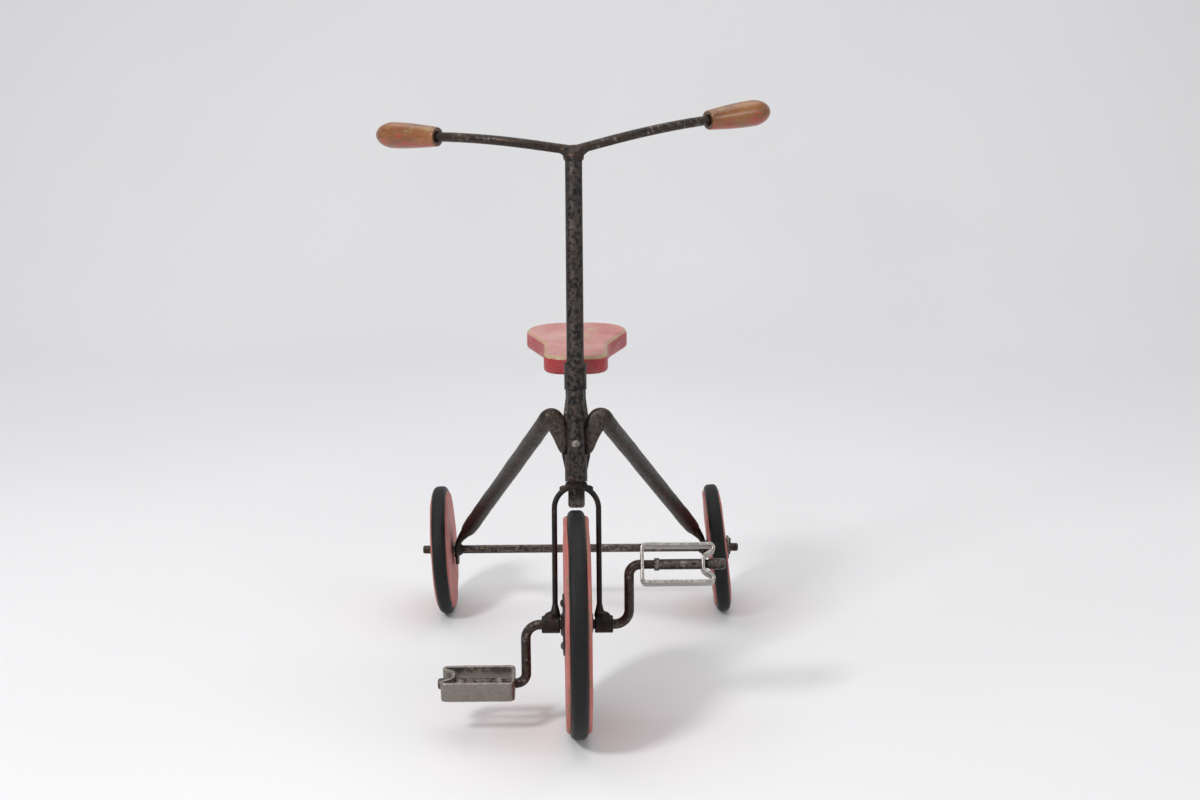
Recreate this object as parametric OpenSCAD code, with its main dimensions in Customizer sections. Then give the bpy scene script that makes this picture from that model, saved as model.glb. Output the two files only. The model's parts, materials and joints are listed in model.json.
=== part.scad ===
// Child's tricycle: iron pipe and rod frame, wooden wheels, saddle and grips.
// Millimetres. +Z is up, the front wheel points towards -Y, +X is the left-hand
// side of the rider. The origin is on the floor, midway along the tricycle.

/* [Overall] */
// Distance between the front and the rear axle
wheelbase = 454; // [400:1:560]
// Distance between the middles of the two rear wheels
rear_track = 395; // [330:1:480]
// Backward lean of the steering column, in degrees
rake = 15; // [10:0.5:20]
// Distance up the column from the front axle to the handlebar
bar_reach = 582; // [485:1:700]
// Height of the top of the seat above the floor
seat_height = 450; // [430:1:540]

/* [Bar stock] */
// Diameter of the round rod of the handlebar, the crank and the rear axle
rod_d = 12; // [10:0.5:14.4]
// Outside diameter of the half-inch pipe of the column and the legs
pipe_d = 21.3; // [18:0.1:25.6]
// Wall of that pipe
pipe_wall = 2.65; // [2:0.05:3.2]
// Diameter of the fork's legs
fork_rod_d = 7; // [6:0.1:8.4]
// Radial clearance of a turning fit
running_gap = 0.08; // [0.04:0.01:0.1]
// Radial clearance of pieces that are fixed together
fixed_gap = 0.02; // [0.01:0.01:0.05]

/* [Front wheel] */
// Diameter over the front tyre
front_d = 279; // [240:1:335]
// Thickness of the front wooden disc
front_disc_w = 31; // [26:0.5:34]
// Width of the front tyre
front_tyre_w = 21; // [17:0.5:24]
// Diameter of the hub plate on the front wheel
hub_plate_d = 77; // [64:1:92]
// Thickness of the hub plate
hub_plate_t = 2.5; // [2:0.1:3]
// Circle that the hub plate's screws stand on
hub_screw_circle = 55; // [46:1:58]
// How far the front wheel stands out of square with its axle, in degrees
front_skew = 1.7; // [0:0.1:3]

/* [Rear wheels] */
// Diameter over a rear tyre
rear_d = 183.4; // [153:0.2:220]
// Thickness of a rear wooden disc
rear_disc_w = 24; // [20:0.5:29]
// Width of a rear tyre
rear_tyre_w = 19.5; // [16:0.5:21]
// Radial play of a rear disc on the axle, beyond what its lean takes up
rear_play = 0.35; // [0.3:0.05:1]
// Lean of the left-hand wheel of the front view on its worn bore, in degrees
rear_lean_a = 3.1; // [0:0.1:6]
// Lean of the right-hand wheel of the front view, in degrees
rear_lean_b = 6; // [0:0.1:6]
// Length of the rear axle
axle_len = 456; // [380:1:547]

/* [Tyres] */
// How far the tyres stand out of the wood
tyre_proud = 7; // [5:0.5:8]
// Depth of the groove that holds a tyre
tyre_groove = 6; // [4:0.5:8]

/* [Fork and head] */
// Distance between the centres of the fork's legs
fork_spread = 54.2; // [50:0.2:65]
// Room between the front tyre and the inside of the fork crown
crown_room = 25.8; // [22:0.1:31]
// Thickness of the fork crown
crown_t = 9.2; // [8:0.1:11]
// Outside diameter of the head collars
collar_d = 27.5; // [26:0.1:33]
// Length of a head collar
collar_len = 32.8; // [27:0.1:39]
// Gap between the two head collars
collar_gap = 80; // [70:0.5:96]
// Length of a fork bearing
bearing_len = 22.6; // [18:0.1:27]
// Side clearance between pieces that turn past each other
side_gap = 0.3; // [0.2:0.05:0.5]

/* [Handlebar] */
// Rise of the handlebar beside the column, in degrees
bar_rise = 11.5; // [5:0.5:15]
// Straight length of the handlebar on each side of the column
bar_straight = 45; // [35:1:60]
// Radius of the handlebar's backward bend
bar_bend_r = 189; // [150:1:230]
// Backward sweep of the grips, in degrees
grip_sweep = 33; // [20:1:40]
// Rise of the grips, in degrees
grip_rise = 1.4; // [0:0.1:5]
// Length of rod between the bend and the mouth of a grip
bar_neck = 22.7; // [15:0.1:30]
// Sideways tilt of the whole handlebar, in degrees
bar_tilt = 3; // [0:0.5:4]
// Length of a grip
grip_len = 96; // [80:1:115]
// Greatest diameter of a grip
grip_d = 33.5; // [28:0.5:40]
// Diameter of a grip at its mouth
grip_mouth_d = 24.3; // [21:0.1:28]

/* [Crank and pedals] */
// Distance from the front axle to a pedal
crank_r = 76; // [64:1:91]
// Distance of the crank arms from the middle of the wheel
crank_x = 63.5; // [60:0.5:76]
// Bend radius of the crank beside the axle
crank_foot_r = 18; // [12:0.5:18.5]
// Bend radius of the crank beside a pedal
crank_bend_r = 13; // [10:0.5:14.5]
// Diameter of the turned pedal spindles
spindle_d = 10.8; // [9:0.1:11.2]
// Length of a pedal along its spindle
pedal_len = 90.5; // [76:0.5:108]
// Breadth of the pedal from front to back
pedal_depth = 50; // [42:0.5:60]
// Width of the pedal's flat strip
strip_w = 25; // [21:0.5:30]
// Thickness of the pedal's strip
strip_t = 4.2; // [3:0.1:5]
// Depth of the notch in the outer end of a pedal
notch_depth = 13; // [11:0.5:15.5]
// How far the lower pedal's spindle runs past the floor of the notch
spindle_over_low = 17; // [14:0.5:24]
// How far the upper pedal's spindle runs past the floor of the notch
spindle_over_high = 25; // [14:0.5:30]
// Turn of the lower pedal from level at rest, in degrees
pedal_turn_low = 6; // [-90:1:90]
// Turn of the upper pedal from level at rest, in degrees
pedal_turn_high = 61; // [-90:1:90]

/* [Seat] */
// Length of the seat
seat_len = 222; // [185:1:266]
// Width of the seat at the back
seat_w = 133; // [111:1:160]
// Width of the seat's nose
seat_nose_w = 81; // [68:1:97]
// Thickness of the seat
seat_t = 24; // [20:0.5:29]
// Rounding of the seat's edges
seat_round = 5; // [2:0.5:6]
// Thickness of the backbone, the seat bracket and other flat bar
flat_t = 5; // [4:0.5:6]
// Width of the seat bracket
bracket_w = 25; // [21:0.5:30]

/* [Hidden] */
$fn = 96;

// Names of the two sides: left and right as seen from the front.
LEFT = -1;
RIGHT = 1;

// Colours
iron = [0.20, 0.19, 0.18];
worn_iron = [0.46, 0.43, 0.40];
bare_steel = [0.60, 0.58, 0.55];
red_wood = [0.62, 0.20, 0.20];
pink_wood = [0.78, 0.52, 0.50];
oiled_wood = [0.62, 0.38, 0.18];
black_rubber = [0.13, 0.13, 0.14];

// Radii
rod_r = rod_d / 2;
pipe_r = pipe_d / 2;
front_r = front_d / 2;
rear_r = rear_d / 2;
collar_r = collar_d / 2;
fork_rod_r = fork_rod_d / 2;
spindle_r = spindle_d / 2;

// Places of the axles: the origin is halfway between the two tyre ends.
front_y = -(wheelbase + rear_r - front_r) / 2;
rear_y = front_y + wheelbase;

// Stations along the column, measured up it from the front axle.
crown_inside = front_r + crown_room;
crown_top = crown_inside + crown_t;
lower_collar = crown_top + side_gap;
upper_collar = lower_collar + collar_len + collar_gap;
head_top = upper_collar + collar_len;
rivet_at = lower_collar + collar_len + 13;
shoulder_at = lower_collar + collar_len + 47;
tail_at = front_r + 2.5;
steerer_top = rivet_at + 14;

// Distances behind the column's axis.
collar_bite = 1.5;
plate_front = collar_r - collar_bite;
plate_back = plate_front + flat_t;

// Rear end
lean_of = function (side) side == LEFT ? rear_lean_a : rear_lean_b;
foot_gap = 4;
foot_t = 5.5;
foot_out = rear_track / 2 - rear_disc_w / 2 - foot_gap;
washer_t = 2.5;
thin_washer_t = 2;
outer_gap = 2.3;
washer_out = rear_track / 2 + rear_disc_w / 2 + outer_gap;
pin_r = 1.5;
pin_at = washer_out + washer_t + pin_r + 0.4;

// Front hub
hub_face = front_disc_w / 2;
hub_boss = 2.6;
hub_boss_r = rod_r + 4;
bearing_in = hub_face + hub_plate_t + hub_boss + hub_boss_r * sin(front_skew) + side_gap;
bearing_out = bearing_in + bearing_len;
crank_pin_at = (hub_face + bearing_in) / 2;
hub_pin_r = 1.4;

// Pedals
pedal_in = crank_x + crank_bend_r + 1;
notch_at = pedal_in + pedal_len - notch_depth - strip_t;
spindle_end_of = function (side)
    notch_at + (side == LEFT ? spindle_over_low : spindle_over_high);
cap_over = 5;
sleeve_wall = 0.9;
sleeve_r = spindle_r + running_gap + sleeve_wall;
sleeve_at = pedal_in + 16.5;

// Seat
seat_bottom = seat_height - seat_t;
column_y_at = function (z) front_y + (z - front_r) * tan(rake);
seat_nose_y = column_y_at(seat_height) + plate_back / cos(rake) + 13;
bracket_reach = 0.62 * seat_len;

// Points of an arc about c, from angle a0 to angle a1, in n steps.
function arc(c, r, a0, a1, n) =
    [for (i = [0:n]) let (a = a0 + (a1 - a0) * i / n) c + r * [cos(a), sin(a)]];

// Unit normal on the left of a path at point i.
function left_normal(p, i, closed) =
    let (
        n = len(p),
        before = closed ? p[(i + n - 1) % n] : p[max(i - 1, 0)],
        after = closed ? p[(i + 1) % n] : p[min(i + 1, n - 1)],
        d = after - before
    ) [-d[1], d[0]] / norm(d);

// The path moved sideways by t.
function beside(p, t, closed) =
    [for (i = [0:len(p) - 1]) p[i] + t * left_normal(p, i, closed)];

function reversed(p) = [for (i = [len(p) - 1:-1:0]) p[i]];
function mirrored(p) = [for (q = reversed(p)) [-q[0], q[1]]];

// Rotation that carries the X axis onto the unit vector d, then turns about it.
module along(d) {
    rotate([0, -asin(d[2]), atan2(d[1], d[0])]) children();
}

module lay_x(r, x0, x1) {
    translate([x0, 0, 0]) rotate([0, 90, 0]) cylinder(h = x1 - x0, r = r);
}

// The column's own frame: local Z runs up the column from the front axle,
// and local Y points behind it.
module column_frame() {
    translate([0, front_y, front_r]) rotate([-rake, 0, 0]) children();
}

module front_axle_frame() {
    translate([0, front_y, front_r]) children();
}

module rear_axle_frame() {
    translate([0, rear_y, rear_r]) children();
}

// ---------------------------------------------------------------- head

// Half outline of the backbone in the plane of the column: [half width, station].
tail_half = 10.2;
tail_round = 4;
neck_half = 17.3;
belly_half = 19.7;
head_half = 10.5;
backbone_half = concat(
    arc([tail_half - tail_round, tail_at + tail_round], tail_round, -90, 0, 6),
    [
        [tail_half, lower_collar - 3],
        [neck_half, lower_collar + collar_len - 2],
        [belly_half, lower_collar + collar_len + 17],
        [head_half + 1.2, upper_collar - 4],
        [head_half, upper_collar + 8],
        [head_half, head_top]
    ]
);

module backbone() {
    color(iron) column_frame() difference() {
        translate([0, plate_back, 0]) rotate([90, 0, 0])
            linear_extrude(flat_t)
                polygon(concat(backbone_half, mirrored(backbone_half)));
        for (at = [lower_collar, upper_collar])
            translate([0, 0, at - 1])
                cylinder(h = collar_len + 2, r = collar_r + fixed_gap);
        bracket_rivet_holes();
    }
}

module head_collar(at) {
    color(iron) column_frame() translate([0, 0, at]) difference() {
        cylinder(h = collar_len, r = collar_r);
        translate([0, 0, -1]) cylinder(h = collar_len + 2, r = pipe_r + running_gap);
    }
}

module head_collar_upper() { head_collar(upper_collar); }
module head_collar_lower() { head_collar(lower_collar); }

// Four beads that join the collars to the backbone.
weld_r = 2.2;
weld_inset = 3;
module collar_welds() {
    bead_y = plate_front - weld_r * 0.6;
    bead_x = sqrt(pow(collar_r + 0.2, 2) - pow(bead_y, 2));
    color(iron) column_frame()
        for (at = [lower_collar, upper_collar], side = [LEFT, RIGHT])
            difference() {
                translate([side * bead_x, bead_y, at + weld_inset])
                    cylinder(h = collar_len - 2 * weld_inset, r = weld_r, $fn = 24);
                translate([0, 0, at]) cylinder(h = collar_len, r = collar_r + fixed_gap);
                translate([-50, plate_front - fixed_gap, at])
                    cube([100, flat_t, collar_len]);
            }
}

// ---------------------------------------------------------------- legs

// A leg is one pipe. Its upper end is hammered flat against the backbone, its
// lower end is hammered flat against the axle.
leaf_t = 2 * pipe_wall;
leaf_in = pipe_r + 1.2;
shoulder = [38.5, 14, shoulder_at];
shoulder_world = [
    shoulder[0],
    front_y + shoulder[1] * cos(rake) + shoulder[2] * sin(rake),
    front_r - shoulder[1] * sin(rake) + shoulder[2] * cos(rake)
];
foot_mid = foot_out - foot_t / 2;
foot_h = 44;
foot_l = 27;
foot_top = 30;
fillet_w = 5;
fillet_h = 4;
leg_end = [foot_mid - 9.5, rear_y - 9, rear_r + foot_top];
leg_run = leg_end - shoulder_world;
leg_len = norm(leg_run);
socket_r = pipe_r + 0.35;
socket_h = 6;

module leaf_plate(x0, x1, z0, z1) {
    translate([x0, plate_front - leaf_t - fixed_gap, z0])
        cube([x1 - x0, leaf_t, z1 - z0]);
}

// Built on the right-hand side of the front view; the left leg is its mirror image.
module leg() {
    leaf_low = lower_collar + collar_len + 4;
    leaf_top = shoulder_at + 11;
    difference() {
        union() {
            column_frame() {
                translate([0, plate_front - fixed_gap, 0]) rotate([90, 0, 0])
                    linear_extrude(leaf_t) polygon([
                        [leaf_in, leaf_low], [leaf_in + 7, leaf_low - 1],
                        [leaf_in + 9, leaf_low + 2], [leaf_in + 17.5, shoulder_at - 7],
                        [leaf_in + 18.5, leaf_top], [leaf_in, leaf_top - 2]
                    ]);
            }
            hull() {
                column_frame() leaf_plate(22, 29.5, shoulder_at - 9, leaf_top);
                translate(shoulder_world) along(leg_run / leg_len)
                    lay_x(socket_r, 0, socket_h, $fn = 32);
            }
            translate(shoulder_world) along(leg_run / leg_len)
                lay_x(pipe_r, socket_h / 2, leg_len - socket_h / 2);
            hull() {
                translate(shoulder_world) along(leg_run / leg_len)
                    lay_x(socket_r, leg_len - socket_h, leg_len, $fn = 32);
                translate([foot_out - foot_t, rear_y - foot_l / 2, rear_r - 4])
                    cube([foot_t, foot_l, foot_h / 2]);
            }
            hull() {
                translate([0, rear_y, rear_r - foot_h / 2 + foot_l / 2])
                    lay_x(foot_l / 2, foot_out - foot_t, foot_out, $fn = 32);
                translate([foot_out - foot_t, rear_y - foot_l / 2, rear_r - 4])
                    cube([foot_t, foot_l, foot_h / 2]);
            }
        }
        translate([0, rear_y, rear_r]) {
            lay_x(rod_r + fixed_gap, foot_out - 3 * foot_t, foot_out + 5);
            lay_x(rod_r + fillet_h + 2 * fixed_gap, foot_out - foot_t - fillet_w - 1,
                  foot_out - foot_t);
        }
    }
}

module leg_right() { color(iron) leg(); }
module leg_left() { color(iron) mirror([1, 0, 0]) leg(); }

// ---------------------------------------------------------------- rear axle

axle_chamfer = 1.5;
// The free ends are dressed a little under the rod's size, past the split pins.
dressing = 0.2;
dressed_r = rod_r - dressing;
dressed_at = pin_at + pin_r + 1;
module rear_axle() {
    half = axle_len / 2;
    color(worn_iron) rear_axle_frame() difference() {
        rotate([0, 90, 0]) rotate_extrude() polygon([
            [0, -half], [dressed_r - axle_chamfer, -half], [dressed_r, -half + axle_chamfer],
            [dressed_r, -dressed_at], [rod_r, -dressed_at],
            [rod_r, dressed_at], [dressed_r, dressed_at],
            [dressed_r, half - axle_chamfer], [dressed_r - axle_chamfer, half], [0, half]
        ]);
        for (side = [LEFT, RIGHT])
            translate([side * pin_at, 0, -rod_r - 1])
                cylinder(h = 2 * rod_r + 2, r = pin_r + fixed_gap, $fn = 32);
    }
}

// Weld fillets where the axle passes through the feet.
module foot_welds() {
    color(iron) rear_axle_frame() for (side = [LEFT, RIGHT])
        rotate([0, side * 90, 0]) translate([0, 0, foot_out - foot_t - fillet_w])
            difference() {
                cylinder(h = fillet_w - fixed_gap, r1 = rod_r + 0.8, r2 = rod_r + fillet_h);
                translate([0, 0, -1]) cylinder(h = fillet_w + 2, r = rod_r + fixed_gap);
            }
}

module washer(r, t) {
    difference() {
        cylinder(h = t, r = r);
        translate([0, 0, -1]) cylinder(h = t + 2, r = rod_r + 0.25);
    }
}

module axle_washers_inner() {
    color(worn_iron) rear_axle_frame() for (side = [LEFT, RIGHT])
        rotate([0, side * 90, 0]) translate([0, 0, foot_out + 0.1])
            washer(rod_r + 5, thin_washer_t);
}

module axle_washers_outer() {
    color(worn_iron) rear_axle_frame() for (side = [LEFT, RIGHT])
        rotate([0, side * 90, 0]) translate([0, 0, washer_out])
            washer(rod_r + 11, washer_t);
}

// A split pin along Z: an eye above, two spread legs below.
module split_pin(r, half) {
    eye_r = 1.9 * r;
    cylinder(h = 2 * half, r = r, center = true, $fn = 32);
    translate([0, 0, half + eye_r]) rotate([90, 0, 90])
        rotate_extrude($fn = 32) translate([eye_r, 0]) circle(r * 0.8, $fn = 16);
    for (side = [LEFT, RIGHT])
        translate([0, 0, -half + r / 2]) rotate([side * 32, 0, 0])
            translate([0, 0, -2.6 * r]) cylinder(h = 2.6 * r, r = r * 0.62, $fn = 16);
}

module axle_split_pins() {
    color(bare_steel) rear_axle_frame() for (side = [LEFT, RIGHT])
        translate([side * pin_at, 0, 0]) split_pin(pin_r, rod_r + 1.6);
}

// ---------------------------------------------------------------- seat

// Half outline of the saddle in plan: [half width, distance behind the nose].
nose_round = 26;
nose_half = seat_nose_w / 2;
lobe_half = seat_w / 2;
flare = 21;
waist_round = 0.54 * seat_len;
lobe_round = 0.34 * seat_w;
tail_y = seat_len - 6;
seat_half = concat(
    [[0.1 * seat_nose_w, 0.2]],
    arc([nose_half - nose_round, nose_round + 1.5], nose_round, -72, 0, 7),
    arc([nose_half + waist_round, 0.32 * seat_len], waist_round, 180, 180 - flare, 5),
    arc([lobe_half - lobe_round, tail_y - lobe_round * sin(68)], lobe_round, -flare, 68, 10),
    [[0.2 * seat_w, seat_len - 1.5], [0.08 * seat_w, seat_len]]
);
seat_outline = concat(seat_half, mirrored(seat_half));

module seat_slab(inset, z0, z1) {
    translate([0, 0, z0]) linear_extrude(z1 - z0)
        polygon(beside(seat_outline, inset, true));
}

module seat() {
    steps = 4;
    color(pink_wood) translate([0, seat_nose_y, seat_bottom]) difference() {
        union() {
            seat_slab(0, seat_round, seat_t - seat_round);
            for (i = [1:steps]) {
                // quarter-round edge, in steps
                inset = seat_round * (1 - cos(90 * i / steps));
                rise = seat_round * sin(90 * i / steps);
                seat_slab(inset, seat_round - rise, seat_t - seat_round + rise);
            }
        }
        translate([0, -seat_nose_y, -seat_bottom]) seat_screw_holes();
    }
}

// Side outline of the seat bracket, [y, z] along its middle, in world axes.
bend_r = 10;
bracket_mid = seat_bottom - flat_t / 2;
bracket_leg = 52;
bracket_turn = 90 - rake;
// Where the leg's middle plane meets the middle plane of the level arm.
bracket_corner_y = column_y_at(bracket_mid) + (plate_back + fixed_gap + flat_t / 2) / cos(rake);
bend_run = bend_r * tan(bracket_turn / 2);
bracket_path = concat(
    [[bracket_corner_y - bracket_leg * sin(rake), bracket_mid - bracket_leg * cos(rake)]],
    arc([bracket_corner_y + bend_run, bracket_mid - bend_r], bend_r, 90 + bracket_turn, 90, 8),
    [[seat_nose_y + bracket_reach, bracket_mid]]
);

module seat_bracket() {
    color(iron) difference() {
        translate([-bracket_w / 2, 0, 0]) rotate([90, 0, 90])
            linear_extrude(bracket_w) polygon(concat(
                beside(bracket_path, flat_t / 2, false),
                reversed(beside(bracket_path, -flat_t / 2, false))
            ));
        column_frame() bracket_rivet_holes();
        seat_screw_holes();
    }
}

// The rivets stand a fixed way below the bracket's bend.
bracket_station = (bracket_mid - front_r) / cos(rake) + plate_back * tan(rake);
bracket_rivet_r = 2.5;
bracket_rivets_at = [bracket_station - 22, bracket_station - 41];

module bracket_rivet_holes() {
    for (at = bracket_rivets_at)
        translate([0, plate_front - 1, at]) rotate([-90, 0, 0])
            cylinder(h = 2 * flat_t + 3, r = bracket_rivet_r + fixed_gap, $fn = 48);
}

// A domed head on Z = 0, with its flat side down.
module domed_head(r, h) {
    ball = (r * r + h * h) / (2 * h);
    half_angle = asin(r / ball);
    rotate_extrude() polygon(concat(
        [[0, 0]],
        [for (i = [0:6]) let (a = half_angle * (1 - i / 6))
            [i == 6 ? 0 : ball * sin(a), i == 0 ? 0 : ball * cos(a) - ball + h]]
    ));
}

module bracket_rivets() {
    back = plate_back + fixed_gap + flat_t;
    color(worn_iron) column_frame() for (at = bracket_rivets_at) {
        translate([0, plate_front, at]) rotate([-90, 0, 0])
            cylinder(h = back - plate_front + 0.5, r = bracket_rivet_r, $fn = 48);
        translate([0, back + fixed_gap, at]) rotate([-90, 0, 0]) domed_head(4.6, 2.6);
    }
}

seat_screw_r = 2;
seat_screw_ys = [for (share = [0.24, 0.40, 0.56]) seat_nose_y + share * seat_len];

module seat_screw_holes() {
    for (y = seat_screw_ys)
        translate([0, y, seat_bottom - flat_t - 1])
            cylinder(h = flat_t + 15, r = seat_screw_r + fixed_gap, $fn = 48);
}

module seat_screws() {
    color(worn_iron) for (y = seat_screw_ys) {
        translate([0, y, seat_bottom - flat_t - 0.5])
            cylinder(h = flat_t + 14, r = seat_screw_r, $fn = 48);
        translate([0, y, seat_bottom - flat_t - fixed_gap]) mirror([0, 0, 1])
            domed_head(4.4, 2.4);
    }
}

// ---------------------------------------------------------------- steering

rivet_r = 2.5;
module rivet_bore(r) {
    translate([0, -pipe_r - 1, rivet_at]) rotate([-90, 0, 0])
        cylinder(h = 2 * pipe_r + 2, r = r, $fn = 48);
}

module column_tube() {
    color(iron) difference() {
        column_frame() difference() {
            translate([0, 0, crown_top])
                cylinder(h = bar_reach - 1.5 - crown_top, r = pipe_r);
            translate([0, 0, crown_top - 1])
                cylinder(h = bar_reach - crown_top - rod_r - 6, r = pipe_r - pipe_wall);
            rivet_bore(rivet_r + fixed_gap);
        }
        handlebar_rods(rod_r + fixed_gap);
    }
}

module column_rivet() {
    head_r = 5.3;
    tail = pipe_r - 0.4;
    color(bare_steel) column_frame() {
        translate([0, -pipe_r, rivet_at]) rotate([-90, 0, 0])
            cylinder(h = pipe_r + tail, r = rivet_r, $fn = 48);
        difference() {
            translate([0, -pipe_r + 1.2, rivet_at]) rotate([90, 0, 0])
                domed_head(head_r, 4);
            translate([0, 0, rivet_at - 10]) cylinder(h = 20, r = pipe_r + fixed_gap);
            translate([0, -pipe_r - 1.6, rivet_at]) rotate([90, 0, 0])
                cylinder(h = 4, r = 1.6, $fn = 32);
        }
    }
}

// The fork: a forged crown with its steerer, two legs, and feet that spread
// over the bearings.
foot_cone_h = 22;
foot_cone_r = 9;
module fork() {
    arch_r = fork_spread / 2;
    arch_at = crown_inside - arch_r + fork_rod_r;
    crown_r = 12.6;
    crown_half = fork_rod_r + 0.4;
    color(iron) column_frame() difference() {
        union() {
            // legs
            for (side = [LEFT, RIGHT])
                translate([side * arch_r, 0, foot_cone_h])
                    cylinder(h = arch_at - foot_cone_h, r = fork_rod_r);
            // arch over the wheel
            translate([0, 0, arch_at]) rotate([90, 0, 0])
                rotate_extrude(angle = 180) translate([arch_r, 0]) circle(fork_rod_r);
            // crown under the lower collar
            intersection() {
                translate([0, 0, crown_inside - 5])
                    cylinder(h = crown_t + 5, r1 = crown_r + 4, r2 = crown_r);
                difference() {
                    translate([-30, -crown_half, crown_inside - 5])
                        cube([60, 2 * crown_half, crown_t + 5]);
                    translate([0, 50, arch_at]) rotate([90, 0, 0])
                        cylinder(h = 100, r = arch_r - fork_rod_r);
                }
            }
            // steerer inside the column tube
            translate([0, 0, crown_top - 1])
                cylinder(h = steerer_top - crown_top + 1,
                         r = pipe_r - pipe_wall - fixed_gap);
            // feet
            for (side = [LEFT, RIGHT])
                translate([side * arch_r, 0, 2])
                    cylinder(h = foot_cone_h, r1 = foot_cone_r, r2 = fork_rod_r + 0.2);
        }
        // seat of the column tube on the crown
        difference() {
            translate([0, 0, crown_top]) cylinder(h = 100, r = 60);
            translate([0, 0, crown_top - 1])
                cylinder(h = 102, r = pipe_r - pipe_wall - fixed_gap);
        }
        rivet_bore(rivet_r + fixed_gap);
        lay_x(pipe_r + fixed_gap, -bearing_out - 10, bearing_out + 10);
    }
}

module fork_bearing(side) {
    color(iron) front_axle_frame() mirror([side == LEFT ? 1 : 0, 0, 0]) difference() {
        lay_x(pipe_r, bearing_in, bearing_out);
        lay_x(rod_r + running_gap, bearing_in - 1, bearing_out + 1);
    }
}

module fork_bearing_left() { fork_bearing(LEFT); }
module fork_bearing_right() { fork_bearing(RIGHT); }

// Directions of the bar beside the column and in the grips, and the bend between.
bar_dir = [cos(bar_rise), 0, sin(bar_rise)];
grip_dir = [
    cos(grip_sweep) * cos(grip_rise), sin(grip_sweep) * cos(grip_rise), sin(grip_rise)
];
bar_bend = acos(bar_dir * grip_dir);
bar_side = (grip_dir - cos(bar_bend) * bar_dir) / sin(bar_bend);
// Roll that lays the bend's plane through both directions.
bar_roll = atan2(bar_side * [-sin(bar_rise), 0, cos(bar_rise)], bar_side[1]);
bend_end = (bar_straight + bar_bend_r * sin(bar_bend)) * bar_dir
    + bar_bend_r * (1 - cos(bar_bend)) * bar_side;
grip_mouth = bend_end + bar_neck * grip_dir;
bar_in_grip = 62;
// The rod swells by this much where a bend runs into a straight, and at its middle.
joint_swell = 0.15;
joint_len = 4;
knuckle_swell = 1.2;
knuckle_half = 3;

module handlebar_frame() {
    translate([0, front_y + bar_reach * sin(rake), front_r + bar_reach * cos(rake)])
        rotate([0, -bar_tilt, 0]) children();
}

// One side of the rod, or of a hole of radius r for it.
module handlebar_side(r, whole) {
    ferrule = joint_len / bar_bend_r * 180 / PI;
    rotate([0, -bar_rise, 0]) rotate([bar_roll, 0, 0]) {
        lay_x(r, 0, bar_straight + (whole ? joint_len / 4 : 0));
        if (whole) {
            // The bend, with a ferrule at each end that holds it to the straights.
            handlebar_bend(r + joint_swell, 0, ferrule);
            handlebar_bend(r, ferrule / 2, bar_bend - ferrule / 2);
            handlebar_bend(r + joint_swell, bar_bend - ferrule, bar_bend);
            translate([bar_straight, bar_bend_r, 0]) rotate([0, 0, bar_bend])
                translate([0, -bar_bend_r, 0])
                    lay_x(r, -joint_len / 4, bar_neck + bar_in_grip);
        }
    }
}

module handlebar_bend(r, from, to) {
    translate([bar_straight, bar_bend_r, 0]) rotate([0, 0, from - 90])
        rotate_extrude(angle = to - from) translate([bar_bend_r, 0]) circle(r);
}

module handlebar_rods(r) {
    handlebar_frame() {
        handlebar_side(r, false);
        mirror([1, 0, 0]) handlebar_side(r, false);
        lay_x(r + knuckle_swell, -knuckle_half, knuckle_half);
    }
}

module handlebar() {
    color(worn_iron) handlebar_frame() {
        handlebar_side(rod_r, true);
        mirror([1, 0, 0]) handlebar_side(rod_r, true);
        lay_x(rod_r + knuckle_swell, -knuckle_half, knuckle_half);
    }
}

// Brazed fillet between the bar and the column tube.
module handlebar_weld() {
    color(iron) difference() {
        column_frame() translate([0, 0, bar_reach - 13]) rotate_extrude() polygon([
            [pipe_r + fixed_gap, 0], [pipe_r + 0.9, 0], [pipe_r + 2.4, 4],
            [pipe_r + 1.8, 9], [pipe_r + fixed_gap, 12]
        ]);
        handlebar_rods(rod_r + fixed_gap);
    }
}

// Turned grip along X from its mouth: a taper that swells into a round end.
grip_swell = 0.72;
grip_bore_depth = bar_in_grip + 2;
grip_profile = let (
    mouth = grip_mouth_d / 2, big = grip_d / 2, swell = grip_swell * grip_len,
    tip = grip_len - swell
) concat(
    [[0, 0], [mouth - 0.8, 0], [mouth, 0.8]],
    [for (i = [1:6]) let (u = i / 7) [mouth + (big - mouth) * sin(90 * u), swell * u]],
    [for (i = [0:10]) let (a = 90 * i / 10) [i == 10 ? 0 : big * cos(a), swell + tip * sin(a)]]
);

module grip() {
    color(oiled_wood) translate(grip_mouth) along(grip_dir) difference() {
        rotate([0, 90, 0]) rotate_extrude() polygon(grip_profile);
        lay_x(rod_r + fixed_gap, -1, grip_bore_depth);
        // countersunk mouth
        rotate([0, 90, 0]) translate([0, 0, -0.01])
            cylinder(h = 3, r1 = rod_r + 2.2, r2 = rod_r + fixed_gap);
    }
}

module grip_right() { handlebar_frame() grip(); }
module grip_left() { handlebar_frame() mirror([1, 0, 0]) grip(); }

// ---------------------------------------------------------------- wheels

// A turned wooden disc about X, with a groove for its tyre.
module wood_disc(r, w, tyre_w, bore_r, round) {
    out = r - tyre_proud;
    groove = out - tyre_groove;
    half = w / 2;
    slot = tyre_w / 2 + fixed_gap;
    rotate([0, 90, 0]) rotate_extrude($fn = 180) polygon(concat(
        [[bore_r, -half]],
        arc([out - round, -half + round], round, -90, 0, 4),
        [[out, -slot], [groove, -slot], [groove, slot], [out, slot]],
        arc([out - round, half - round], round, 0, 90, 4),
        [[bore_r, half]]
    ));
}

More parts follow.
